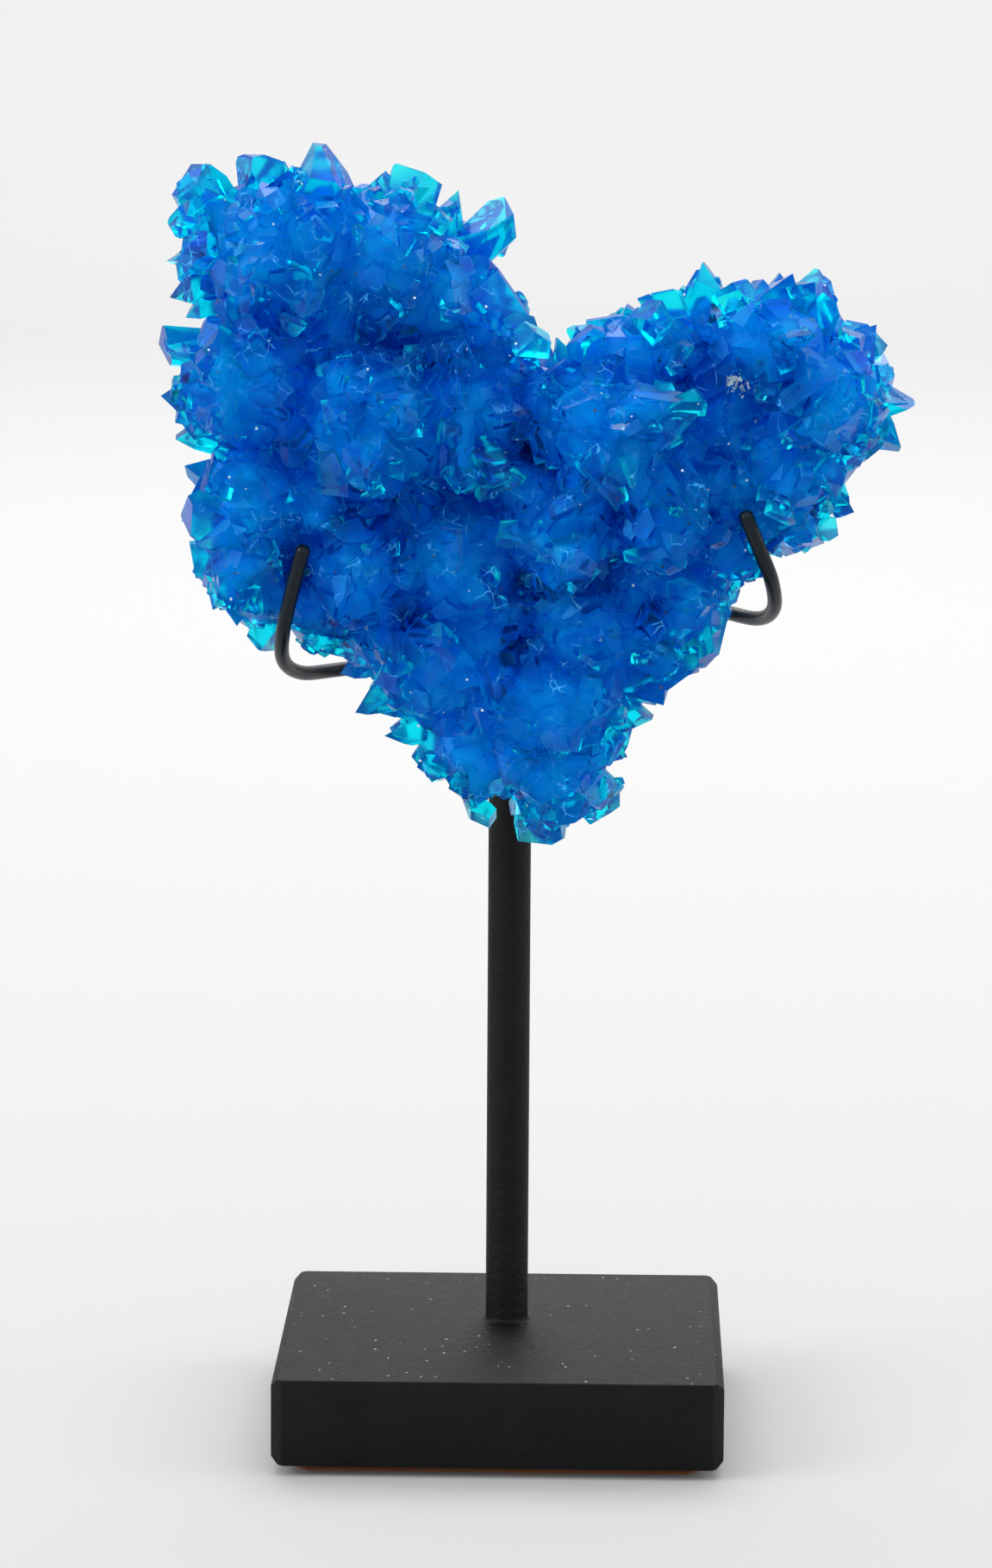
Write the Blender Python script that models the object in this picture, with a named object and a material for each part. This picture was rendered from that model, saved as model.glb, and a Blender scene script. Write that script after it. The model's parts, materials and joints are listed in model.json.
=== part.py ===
"""A heart-shaped cluster of chalcanthite crystals held on a black steel display stand.

Metres, +Z up. The origin is the middle of the stand's underside, and the front faces -Y.
The cluster is one natural solid: rounded clumps grown together, each bristling with crystals
that point away from its middle. It sits in two wire hooks and leans back on a round post.
"""

import math
import random

import bmesh
import bpy
from mathutils import Matrix, Vector

MM = 0.001
GAP = 0.3 * MM

# The stand: 2 inch square steel bar on a felt pad, 3/16 inch rod and 1/16 inch wire, painted.
BASE_SIDE = 50.8 * MM
BASE_HEIGHT = 9.9 * MM
CORNER_CHAMFER = 1.3 * MM
SIDE_CHAMFER = 0.8 * MM
PAD_THICKNESS = 0.9 * MM
PAD_INSET = 2.6 * MM
POST_RADIUS = 2.45 * MM
POST_SIDES = 32
POST_X = 0.5 * MM
POST_Y = 3.5 * MM
POST_TOP = 101.5 * MM
POST_CHAMFER = 0.4 * MM
SOCKET_DEPTH = 7.0 * MM
WIRE_RADIUS = 0.82 * MM
WIRE_SIDES = 10
WIRE_STATIONS = 24
SMOOTH_BELOW = math.radians(40)

BASE_BOTTOM = PAD_THICKNESS + GAP
BASE_TOP = BASE_BOTTOM + BASE_HEIGHT

# Each hook's route in mm, from its tip on the cluster's front, under the flank, to the post.
LEFT_HOOK = (
    (-22.0, -21.5, 104.0),
    (-23.1, -20.4, 99.9),
    (-24.4, -17.6, 94.5),
    (-24.6, -13.0, 90.6),
    (-22.9, -7.8, 88.5),
    (-19.6, -2.2, 88.0),
    (-14.0, 1.4, 88.4),
    (-7.0, 3.2, 89.8),
    (-0.6, 3.5, 90.4),
)
RIGHT_HOOK = (
    (26.6, -21.5, 108.2),
    (28.1, -20.4, 104.5),
    (29.6, -17.8, 100.6),
    (30.0, -13.2, 97.0),
    (28.4, -7.8, 95.1),
    (24.6, -2.2, 95.1),
    (18.5, 1.4, 95.9),
    (10.0, 3.2, 97.4),
    (1.6, 3.5, 98.0),
)

# The clumps in mm: middle x and z, half width, half height, half depth, and the middle's y.
CLUMPS = (
    (-24.0, 135.5, 10.3, 8.6, 9.0, -12.0),
    (-13.5, 135.5, 7.6, 7.4, 9.0, -12.0),
    (-7.5, 131.5, 6.0, 6.8, 7.5, -11.0),
    (-27.8, 121.5, 8.0, 8.2, 9.0, -12.0),
    (-15.0, 117.5, 10.0, 9.5, 10.5, -12.5),
    (-5.0, 117.5, 8.2, 9.5, 9.0, -11.0),
    (-1.6, 126.4, 5.0, 5.2, 6.0, -10.5),
    (-27.5, 108.5, 6.4, 7.5, 8.0, -12.0),
    (-28.4, 101.4, 5.2, 4.8, 6.0, -12.5),
    (-16.0, 101.0, 7.0, 7.6, 7.6, -12.0),
    (-5.0, 102.0, 8.0, 8.5, 8.0, -11.0),
    (5.0, 119.0, 6.0, 5.4, 7.0, -10.5),
    (12.0, 116.5, 8.5, 8.5, 10.0, -13.0),
    (6.0, 106.0, 7.5, 7.0, 9.0, -12.5),
    (17.5, 107.0, 6.5, 7.0, 8.5, -12.0),
    (15.5, 125.0, 8.0, 4.6, 7.5, -10.5),
    (29.5, 126.5, 7.8, 6.0, 8.5, -11.5),
    (36.0, 120.5, 6.4, 7.3, 8.5, -12.0),
    (31.0, 113.0, 7.0, 6.4, 8.0, -12.0),
    (20.0, 97.6, 4.4, 5.2, 6.5, -10.5),
    (9.5, 94.5, 7.8, 6.5, 7.5, -10.5),
    (-6.8, 90.3, 7.4, 6.8, 7.0, -11.0),
    (4.4, 85.5, 9.6, 6.8, 7.2, -11.0),
    (5.6, 78.4, 6.2, 5.6, 6.0, -11.0),
    (-3.2, 80.2, 5.0, 4.6, 5.0, -11.0),
    (-19.0, 126.6, 7.0, 6.0, 6.5, -11.5),
    (-21.5, 109.5, 5.5, 6.0, 6.5, -11.5),
    (-20.5, 97.0, 4.6, 4.2, 4.5, -12.5),
    (-13.5, 92.5, 4.6, 4.4, 5.5, -11.5),
    (-27.2, 98.2, 4.8, 4.2, 5.0, -12.0),
    (16.6, 92.8, 4.0, 4.6, 5.5, -10.5),
    (29.8, 107.6, 5.0, 4.2, 6.0, -10.5),
    (0.5, 110.5, 5.5, 5.0, 5.5, -11.0),
    (0.0, 96.5, 5.0, 5.0, 6.0, -10.5),
    (24.0, 118.0, 6.0, 6.0, 6.0, -11.0),
    (24.0, 110.5, 5.5, 5.5, 6.0, -11.0),
    (23.8, 103.5, 4.6, 4.6, 5.5, -11.0),
    (15.0, 100.0, 5.5, 4.0, 5.5, -11.0),
)

# Crystals that stand out at the rim: the kind of end, the tip's x and z in mm, the direction in
# degrees anticlockwise from +X, then the width, the thickness and the free length in mm.
RIM_CRYSTALS = (
    ("wedge", -20.4, 147.6, 84, 8.5, 6.0, 6.5),
    ("block", -27.4, 146.8, 96, 6.5, 5.0, 6.0),
    ("block", -35.4, 145.0, 122, 7.0, 5.5, 7.5),
    ("block", -37.3, 139.8, 160, 5.0, 4.0, 4.5),
    ("wedge", -37.6, 135.2, 178, 4.0, 4.0, 4.0),
    ("point", -37.4, 131.2, 190, 4.5, 4.0, 4.5),
    ("block", -38.8, 126.4, 176, 5.6, 5.0, 6.5),
    ("point", -38.4, 120.0, 188, 5.5, 4.5, 5.0),
    ("wedge", -36.8, 115.0, 180, 5.0, 4.0, 4.5),
    ("point", -35.6, 108.2, 196, 5.0, 4.5, 4.5),
    ("block", -35.3, 102.4, 176, 5.4, 4.5, 5.5),
    ("point", -31.2, 95.4, 228, 5.0, 4.5, 4.5),
    ("block", -27.2, 91.6, 250, 4.6, 4.2, 4.8),
    ("point", -16.6, 84.4, 205, 4.5, 4.0, 5.0),
    ("wedge", -13.4, 82.4, 190, 5.0, 3.6, 5.0),
    ("block", -8.4, 77.0, 238, 6.5, 5.0, 4.8),
    ("wedge", -3.8, 73.0, 250, 5.0, 4.5, 4.2),
    ("wedge", 4.4, 69.9, 268, 7.0, 6.0, 5.0),
    ("wedge", 10.6, 73.2, 305, 5.0, 4.5, 4.5),
    ("point", 13.9, 79.6, 330, 5.0, 4.5, 4.5),
    ("wedge", 16.6, 83.8, 335, 5.0, 4.0, 4.5),
    ("block", 18.8, 88.6, 345, 6.0, 5.0, 5.0),
    ("block", 22.4, 90.0, 280, 5.6, 4.6, 6.0),
    ("point", 24.8, 95.4, 345, 4.4, 4.0, 3.6),
    ("wedge", 33.6, 103.6, 290, 5.0, 4.0, 4.5),
    ("point", 38.6, 107.4, 310, 5.0, 4.5, 4.5),
    ("wedge", 43.8, 114.6, 325, 5.0, 4.2, 4.8),
    ("point", 45.4, 119.8, 2, 4.6, 4.4, 5.5),
    ("block", 42.6, 123.6, 16, 4.6, 4.6, 4.5),
    ("point", 41.2, 128.2, 40, 4.5, 4.0, 4.5),
    ("wedge", 35.4, 134.4, 66, 6.5, 5.0, 5.5),
    ("wedge", 30.2, 134.6, 84, 6.0, 4.6, 5.0),
    ("wedge", 22.0, 135.2, 88, 5.8, 5.0, 6.5),
    ("point", 9.2, 128.6, 128, 4.0, 3.0, 4.0),
    ("wedge", 5.0, 126.2, 96, 2.4, 2.4, 3.0),
    ("block", 0.6, 140.9, 44, 5.6, 4.8, 7.5),
    ("wedge", -5.0, 142.4, 62, 4.6, 4.0, 4.6),
    ("block", -9.4, 145.0, 70, 6.2, 5.0, 5.5),
    ("wedge", -14.2, 144.6, 98, 4.0, 3.6, 4.0),
)
RIM_Y = -11.0
RIM_ROOT = 3.5

# Blades that catch the eye on the front: the kind of end, the tip and the foot, and the width
# and thickness, in mm.
FACE_CRYSTALS = (
    ("block", (10.6, -26.0, 112.6), (12.4, -20.0, 121.0), 5.4, 3.6),
    ("block", (20.4, -23.5, 121.6), (13.6, -19.5, 118.6), 6.4, 4.0),
    ("wedge", (-5.2, -23.2, 110.6), (-4.0, -18.5, 118.6), 3.0, 3.0),
    ("block", (-4.6, -21.8, 126.2), (-5.0, -17.0, 119.6), 3.2, 3.0),
    ("block", (1.6, -21.5, 111.8), (-4.4, -17.0, 113.4), 4.4, 3.6),
    ("wedge", (2.4, -22.5, 105.0), (8.0, -19.0, 108.0), 7.0, 4.2),
    ("block", (-11.4, -21.0, 89.6), (-12.0, -15.5, 96.8), 4.6, 3.4),
    ("block", (-21.0, -23.5, 131.0), (-20.0, -18.0, 138.4), 5.0, 4.2),
    ("wedge", (-14.4, -26.0, 110.4), (-14.0, -20.5, 117.6), 4.6, 4.0),
    ("block", (20.4, -22.5, 108.6), (18.6, -18.0, 114.4), 3.6, 3.2),
    ("block", (30.0, -22.0, 117.0), (36.6, -17.5, 121.0), 6.0, 4.0),
    ("wedge", (16.0, -20.0, 103.4), (17.8, -16.5, 109.4), 4.4, 3.2),
    ("block", (-32.2, -21.4, 126.4), (-29.6, -17.5, 120.8), 6.0, 4.4),
)


# The crystals' faces. A chalcanthite prism has a six-sided section that leans, and its end is
# closed by slanting faces: to a point, to a wedge or to a blunt block. Each face is a turn
# round the length and a tilt away from the tip, in degrees.
PRISM_TURNS = (0, 57, 101)
END_FACES = {
    "point": ((20, 48), (148, 55), (262, 40), (205, 16)),
    "wedge": ((4, 50), (176, 44), (95, 24), (268, 30)),
    "block": ((40, 8), (165, 42), (255, 55), (350, 58)),
}
HABITS_EACH = 5
SIDE_REACH = (0.42, 0.56)
END_REACH = (0.84, 1.0)
END_TURN_SPREAD = 12

# How the crystals cover a clump. Widths lean to the small end, and lengths and thicknesses are
# shares of the width. A seat deeper than BURIED_BELOW in another clump grows nothing.
CRYSTAL_SPACING = 6.4 * MM
CRYSTAL_WIDTHS = (4.2 * MM, 7.4 * MM)
SMALL_ONES = 1.6
CRYSTAL_LENGTHS = (1.1, 1.5)
CRYSTAL_THICKNESSES = (0.55, 0.95)
WANDER = 0.3
SHARE_FREE = 0.40
BURIED_BELOW = 0.94
SEED = 29
RIM_SHORTENING = 0.72
SHRINKS = (1.0, 0.9, 0.8, 0.6)
CLUSTER_TRIANGLES = 8400

COLOURS = {
    "chalcanthite": ((0.004, 0.12, 0.62, 1.0), 0.15, 0.0),
    "painted_steel": ((0.012, 0.012, 0.013, 1.0), 0.55, 0.0),
    "felt": ((0.006, 0.006, 0.006, 1.0), 0.95, 0.0),
}


def material(name):
    colour, roughness, metallic = COLOURS[name]
    made = bpy.data.materials.get(name)
    if made is None:
        made = bpy.data.materials.new(name)
        made.use_nodes = True
        shader = made.node_tree.nodes["Principled BSDF"]
        shader.inputs["Base Color"].default_value = colour
        shader.inputs["Roughness"].default_value = roughness
        shader.inputs["Metallic"].default_value = metallic
    return made


def new_object(name, shape, finish, smooth=False):
    """An object in the scene made from a bmesh, which is freed."""
    mesh = bpy.data.meshes.new(name)
    shape.to_mesh(mesh)
    shape.free()
    if smooth:
        mesh.shade_smooth()
        mesh.set_sharp_from_angle(angle=SMOOTH_BELOW)
    mesh.materials.append(material(finish))
    made = bpy.data.objects.new(name, mesh)
    bpy.context.scene.collection.objects.link(made)
    return made


def box_shape(width, depth, low, high):
    shape = bmesh.new()
    bmesh.ops.create_cube(shape, size=1.0)
    size = Matrix.Diagonal((width, depth, high - low, 1.0))
    shape.transform(Matrix.Translation((0, 0, (low + high) / 2)) @ size)
    return shape


def chamfer_edges(shape, chosen, width):
    edges = [edge for edge in shape.edges if chosen(edge)]
    bmesh.ops.bevel(
        shape, geom=edges, offset=width, segments=1, affect="EDGES", clamp_overlap=True
    )


def is_upright(edge):
    a, b = (vert.co for vert in edge.verts)
    return abs(a.z - b.z) > 0.9 * edge.calc_length()


def is_side_edge(edge):
    """An edge that runs front to back along the block's top or underside."""
    a, b = (vert.co for vert in edge.verts)
    return abs(a.y - b.y) > 0.98 * edge.calc_length() and edge.calc_length() > BASE_SIDE / 2


def rod_shape(radius, low, high, sides, chamfer=0.0):
    """An upright round bar about the Z axis, its top edge chamfered."""
    shape = bmesh.new()
    profile = [(0, low), (radius, low), (radius, high - chamfer)]
    if chamfer:
        profile.append((radius - chamfer, high))
    profile.append((0, high))
    verts = [shape.verts.new((x, 0, z)) for x, z in profile]
    edges = [shape.edges.new(pair) for pair in zip(verts, verts[1:])]
    bmesh.ops.spin(
        shape, geom=verts + edges, axis=(0, 0, 1), cent=(0, 0, 0), angle=math.tau, steps=sides
    )
    bmesh.ops.remove_doubles(shape, verts=shape.verts, dist=1e-6)
    bmesh.ops.recalc_face_normals(shape, faces=shape.faces)
    return shape


def cut(target, cutter):
    """Takes the cutter's shape out of the target. The cutter stays as a hidden guide."""
    cutter.hide_render = True
    cutter.display_type = "WIRE"
    modifier = target.modifiers.new("cut " + cutter.name, "BOOLEAN")
    modifier.operation = "DIFFERENCE"
    modifier.object = cutter


def base_block():
    shape = box_shape(BASE_SIDE, BASE_SIDE, BASE_BOTTOM, BASE_TOP)
    chamfer_edges(shape, is_upright, CORNER_CHAMFER)
    chamfer_edges(shape, is_side_edge, SIDE_CHAMFER)
    block = new_object("base_block", shape, "painted_steel")
    socket = rod_shape(POST_RADIUS + GAP, BASE_TOP - SOCKET_DEPTH, BASE_TOP + 2 * MM, POST_SIDES)
    cutter = new_object("post_socket", socket, "painted_steel")
    cutter.location = (POST_X, POST_Y, 0)
    cut(block, cutter)
    return block


def felt_pad():
    side = BASE_SIDE - 2 * PAD_INSET
    shape = box_shape(side, side, 0.0, PAD_THICKNESS)
    chamfer_edges(shape, is_upright, CORNER_CHAMFER)
    return new_object("felt_pad", shape, "felt")


def smooth_route(points, stations):
    """Evenly spaced points on a smooth curve through the given ones (Catmull-Rom)."""
    ends = [2 * points[0] - points[1], *points, 2 * points[-1] - points[-2]]
    dense = []
    for before, a, b, after in zip(ends, ends[1:], ends[2:], ends[3:]):
        for step in range(12):
            t = step / 12
            dense.append(
                0.5
                * (
                    2 * a
                    + (b - before) * t
                    + (2 * before - 5 * a + 4 * b - after) * t**2
                    + (3 * a - before - 3 * b + after) * t**3
                )
            )
    dense.append(points[-1])
    travelled = [0.0]
    for a, b in zip(dense, dense[1:]):
        travelled.append(travelled[-1] + (b - a).length)
    route = []
    at = 0
    for station in range(stations):
        wanted = travelled[-1] * station / (stations - 1)
        while at < len(dense) - 2 and travelled[at + 1] < wanted:
            at += 1
        span = travelled[at + 1] - travelled[at]
        route.append(dense[at].lerp(dense[at + 1], (wanted - travelled[at]) / span))
    return route


def hook_route(hook):
    return smooth_route([Vector(point) * MM for point in hook], WIRE_STATIONS)


def wire_shape(route, radius, sides):
    """A round wire along the route. Its free end, the first point, is rounded over."""
    shape = bmesh.new()
    first = (route[0] - route[1]).normalized()
    rings = [(route[0] + first * radius * 0.55, radius * 0.55)]
    rings += [(point, radius) for point in route]
    across = first.orthogonal().normalized()
    loops = []
    for index, (centre, size) in enumerate(rings):
        after = rings[min(index + 1, len(rings) - 1)][0]
        before = rings[max(index - 1, 0)][0]
        along = (after - before).normalized()
        across = (across - along * across.dot(along)).normalized()
        other = along.cross(across)
        loop = []
        for side in range(sides):
            turn = math.tau * side / sides
            loop.append(
                shape.verts.new(centre + size * (across * math.cos(turn) + other * math.sin(turn)))
            )
        loops.append(loop)
    for one, two in zip(loops, loops[1:]):
        for side in range(sides):
            following = (side + 1) % sides
            shape.faces.new((one[side], one[following], two[following], two[side]))
    shape.faces.new(loops[0])
    shape.faces.new(loops[-1])
    bmesh.ops.recalc_face_normals(shape, faces=shape.faces)
    return shape


def hook_seat(name, end, towards):
    """A cutter for the drilled hole in the post that a hook's inner end sits in."""
    shape = rod_shape(WIRE_RADIUS + GAP, -GAP, 2 * POST_RADIUS, WIRE_SIDES)
    turn = Vector((0, 0, 1)).rotation_difference(towards).to_matrix().to_4x4()
    shape.transform(Matrix.Translation(end) @ turn)
    return new_object(name, shape, "painted_steel")


def stand_post(routes):
    shape = rod_shape(
        POST_RADIUS, BASE_TOP - SOCKET_DEPTH + GAP, POST_TOP, POST_SIDES, POST_CHAMFER
    )
    shape.transform(Matrix.Translation((POST_X, POST_Y, 0)))
    post = new_object("post", shape, "painted_steel", smooth=True)
    for name, route in routes.items():
        towards = (route[-3] - route[-1]).normalized()
        cut(post, hook_seat("seat_" + name, route[-1], towards))
    return post


def crystal_habit(rng, ends):
    """One crystal's shape, half a unit wide each way and one unit long from its foot up +Z."""
    shape = bmesh.new()
    bmesh.ops.create_cube(shape, size=2.0)
    faces = []
    for turn in PRISM_TURNS:
        for side in (0, 180):
            faces.append((turn + side, 90, rng.uniform(*SIDE_REACH)))
    for turn, tilt in ends:
        reach = math.cos(math.radians(tilt)) * rng.uniform(*END_REACH)
        spread = rng.uniform(-END_TURN_SPREAD, END_TURN_SPREAD)
        faces.append((turn + spread, tilt, reach))
    for turn, tilt, reach in faces:
        normal = Vector((0, 0, 1))
        normal.rotate(Matrix.Rotation(math.radians(tilt), 3, "Y"))
        normal.rotate(Matrix.Rotation(math.radians(turn), 3, "Z"))
        slice_off(shape, normal * reach, normal)
    slice_off(shape, Vector((0, 0, 0)), Vector((0, 0, -1)))
    height = max(vert.co.z for vert in shape.verts)
    shape.transform(Matrix.Diagonal((1, 1, 1 / height, 1)))
    mesh = bpy.data.meshes.new("habit")
    shape.to_mesh(mesh)
    shape.free()
    return mesh


def slice_off(shape, point, normal):
    """Cuts away what lies beyond the plane, and closes the cut."""
    everything = shape.verts[:] + shape.edges[:] + shape.faces[:]
    found = bmesh.ops.bisect_plane(
        shape, geom=everything, plane_co=point, plane_no=normal, dist=1e-6, clear_outer=True
    )
    edges = [item for item in found["geom_cut"] if isinstance(item, bmesh.types.BMEdge)]
    if len(edges) > 2:
        bmesh.ops.edgeloop_fill(shape, edges=edges)


def clump_geometry(clump):
    x, z, half_width, half_height, half_depth, y = (value * MM for value in clump)
    return Vector((x, y, z)), Vector((half_width, half_depth, half_height))


def inside_share(point, clump):
    """How far out from a clump's middle a point is: 1 on its surface, less inside."""
    middle, half = clump_geometry(clump)
    away = point - middle
    return math.sqrt(sum((a / h) ** 2 for a, h in zip(away, half)))


def clump_area(half):
    """The surface of an ellipsoid, by Thomsen's formula."""
    power = 1.6
    a, b, c = half
    mean = ((a * b) ** power + (a * c) ** power + (b * c) ** power) / 3
    return 4 * math.pi * mean ** (1 / power)


def even_directions(count):
    """Directions spread evenly over a sphere, along a golden spiral."""
    golden = math.pi * (3 - math.sqrt(5))
    for index in range(count):
        height = 1 - 2 * (index + 0.5) / count
        ring = math.sqrt(1 - height * height)
        yield Vector((ring * math.cos(golden * index), height, ring * math.sin(golden * index)))


def crystal_matrix(foot, direction, spin, width, thickness, length):
    turn = Vector((0, 0, 1)).rotation_difference(direction).to_matrix().to_4x4()
    size = Matrix.Diagonal((width, thickness, length, 1))
    return Matrix.Translation(foot) @ turn @ Matrix.Rotation(spin, 4, "Z") @ size


def tipped_matrix(mesh, tip, direction, spin, width, thickness, length):
    """Places a crystal by its highest corner, which comes to the given tip."""
    top = max((vert.co for vert in mesh.vertices), key=lambda corner: corner.z)
    placed = crystal_matrix(Vector((0, 0, 0)), direction, spin, width, thickness, length)
    return Matrix.Translation(tip - placed @ top) @ placed


def grown_crystals(rng, habits):
    """The placing of each crystal that bristles from a clump's own surface."""
    kinds = habits["point"] + habits["wedge"] + habits["block"]
    for clump in CLUMPS:
        middle, half = clump_geometry(clump)
        others = [other for other in CLUMPS if other is not clump]
        count = round(clump_area(half) / CRYSTAL_SPACING**2)
        for direction in even_directions(count):
            seat = middle + Vector(d * h for d, h in zip(direction, half))
            outward = Vector(d / h for d, h in zip(direction, half)).normalized()
            size = rng.random() ** SMALL_ONES
            width = CRYSTAL_WIDTHS[0] + (CRYSTAL_WIDTHS[1] - CRYSTAL_WIDTHS[0]) * size
            wander = Vector(rng.gauss(0, WANDER) for _ in range(3))
            spin = rng.uniform(0, math.tau)
            thickness = width * rng.uniform(*CRYSTAL_THICKNESSES)
            length = width * rng.uniform(*CRYSTAL_LENGTHS)
            if abs(direction.y) < 0.4:
                length *= RIM_SHORTENING
            if min(inside_share(seat, other) for other in others) < BURIED_BELOW:
                continue
            pointing = (outward + wander).normalized()
            foot = seat - pointing * length * (1 - SHARE_FREE)
            yield rng.choice(kinds), crystal_matrix(foot, pointing, spin, width, thickness, length)


def rim_crystals(rng, habits):
    for kind, tip_x, tip_z, degrees, width, thickness, free in RIM_CRYSTALS:
        angle = math.radians(degrees)
        pointing = Vector((math.cos(angle), rng.uniform(-0.15, 0.15), math.sin(angle))).normalized()
        tip = Vector((tip_x, RIM_Y + rng.uniform(-2.5, 1.5), tip_z)) * MM
        length = (free + RIM_ROOT) * MM
        spin = rng.uniform(-0.35, 0.35) + rng.choice((0, math.pi))
        mesh = rng.choice(habits[kind])
        yield mesh, tipped_matrix(mesh, tip, pointing, spin, width * MM, thickness * MM, length)


def face_crystals(rng, habits):
    for kind, tip, foot, width, thickness in FACE_CRYSTALS:
        along = (Vector(tip) - Vector(foot)) * MM
        mesh = rng.choice(habits[kind])
        size = (width * MM, thickness * MM, along.length)
        yield mesh, tipped_matrix(mesh, Vector(tip) * MM, along.normalized(), 0.0, *size)


def touches_stand(mesh, matrix, stand_line):
    """True if a crystal, grown by the wire's or post's radius and the gap, holds a point of it."""
    turned = matrix.to_3x3().inverted().transposed()
    planes = []
    for face in mesh.polygons:
        normal = (turned @ face.normal).normalized()
        planes.append((normal, normal.dot(matrix @ face.center)))
    for point, radius in stand_line:
        reach = radius + GAP
        if all(normal.dot(point) - distance < reach for normal, distance in planes):
            return True
    return False


def stand_line(routes):
    """Points along the middle of the post and of each hook, with the radius there."""
    points = []
    for route in routes.values():
        for a, b in zip(route, route[1:]):
            points += [(a.lerp(b, t / 4), WIRE_RADIUS) for t in range(4)]
        points.append((route[-1], WIRE_RADIUS))
    steps = 160
    for step in range(steps + 1):
        height = BASE_TOP + (POST_TOP - BASE_TOP) * step / steps
        points.append((Vector((POST_X, POST_Y, height)), POST_RADIUS))
    return points


def round_core():
    """A ball of flat facets, one unit in radius, which each clump stretches to its own size."""
    shape = bmesh.new()
    bmesh.ops.create_icosphere(shape, subdivisions=2, radius=1.0)
    mesh = bpy.data.meshes.new("core")
    shape.to_mesh(mesh)
    shape.free()
    return mesh


def clump_cores():
    core = round_core()
    for clump in CLUMPS:
        middle, half = clump_geometry(clump)
        yield core, Matrix.Translation(middle) @ Matrix.Diagonal((*half, 1))


def clear_of_stand(mesh, matrix, line):
    """The crystal as a bmesh, made smaller until it clears the stand, or None."""
    for shrink in SHRINKS:
        smaller = matrix @ Matrix.Diagonal((shrink, shrink, shrink, 1))
        if not touches_stand(mesh, smaller, line):
            shape = bmesh.new()
            shape.from_mesh(mesh)
            shape.transform(smaller)
            return shape
    return None


def chalcanthite_cluster(routes):
    """The whole cluster: the clumps and their crystals, fused to one closed solid."""
    rng = random.Random(SEED)
    habits = {}
    for kind, ends in END_FACES.items():
        habits[kind] = [crystal_habit(rng, ends) for _ in range(HABITS_EACH)]
    line = stand_line(routes)
    places = [
        *clump_cores(),
        *rim_crystals(rng, habits),
        *face_crystals(rng, habits),
        *grown_crystals(rng, habits),
    ]
    shapes = [clear_of_stand(mesh, matrix, line) for mesh, matrix in places]
    shapes = [shape for shape in shapes if shape is not None]
    cluster = new_object("chalcanthite_cluster", shapes[0], "chalcanthite")
    pieces = bpy.data.collections.new("crystals")
    for shape in shapes[1:]:
        add_to(pieces, shape)
    fuse(cluster, pieces)
    keep_outer_skin(cluster)
    thin_out(cluster)
    return cluster


def add_to(collection, shape):
    mesh = bpy.data.meshes.new("crystal")
    shape.to_mesh(mesh)
    shape.free()
    collection.objects.link(bpy.data.objects.new("crystal", mesh))


def fuse(target, pieces):
    """Joins the target and every piece in one solid, and then drops the pieces."""
    bpy.context.scene.collection.children.link(pieces)
    modifier = target.modifiers.new("fuse", "BOOLEAN")
    modifier.operation = "UNION"
    modifier.operand_type = "COLLECTION"
    modifier.collection = pieces
    graph = bpy.context.evaluated_depsgraph_get()
    fused = bpy.data.meshes.new_from_object(target.evaluated_get(graph))
    target.modifiers.clear()
    target.data = fused
    for piece in list(pieces.objects):
        bpy.data.objects.remove(piece)
    bpy.data.collections.remove(pieces)


def keep_outer_skin(target):
    """Drops the closed pockets between crystals, so that one outer skin is left."""
    shape = bmesh.new()
    shape.from_mesh(target.data)
    bmesh.ops.remove_doubles(shape, verts=shape.verts, dist=0.01 * MM)
    bmesh.ops.dissolve_degenerate(shape, edges=shape.edges, dist=0.005 * MM)
    bmesh.ops.triangulate(shape, faces=shape.faces)
    seen = set()
    skins = []
    for start in shape.faces:
        if start in seen:
            continue
        skin = [start]
        seen.add(start)
        for face in skin:
            for edge in face.edges:
                for other in edge.link_faces:
                    if other not in seen:
                        seen.add(other)
                        skin.append(other)
        skins.append(skin)
    skins.sort(key=len)
    bmesh.ops.delete(shape, geom=[face for skin in skins[:-1] for face in skin], context="FACES")
    shape.to_mesh(target.data)
    shape.free()


def thin_out(target):
    """Merges the slivers left where crystals cross, keeping the flat faces and sharp edges."""
    modifier = target.modifiers.new("thin out", "DECIMATE")
    modifier.ratio = min(1.0, CLUSTER_TRIANGLES / len(target.data.polygons))
    graph = bpy.context.evaluated_depsgraph_get()
    thinned = bpy.data.meshes.new_from_object(target.evaluated_get(graph))
    target.modifiers.clear()
    target.data = thinned


def main():
    for leftover in list(bpy.data.objects):
        bpy.data.objects.remove(leftover)
    routes = {"left": hook_route(LEFT_HOOK), "right": hook_route(RIGHT_HOOK)}
    base_block()
    felt_pad()
    stand_post(routes)
    for name, route in routes.items():
        wire = wire_shape(route, WIRE_RADIUS, WIRE_SIDES)
        new_object("prong_" + name, wire, "painted_steel", smooth=True)
    chalcanthite_cluster(routes)


main()
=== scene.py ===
"""A heart-shaped chalcanthite cluster in two wire hooks on a black steel display stand.

The cluster's clear skin is grown with Geometry Nodes from the solid's own surface: small crystals
stand on it, each in its own direction, and all are joined in one closed body. A cloudy core lies
inside. The block and the post are powder-coated steel, the hooks are enamelled wire, and the foot
is felt. Lengths are in metres and +Z is up.
"""

import json
import math
import random

import bmesh
import bpy
import numpy as np
from bpy.props import (
    FloatProperty,
    FloatVectorProperty,
    IntProperty,
    PointerProperty,
)
from mathutils import Matrix, Vector
from mathutils.bvhtree import BVHTree

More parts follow.
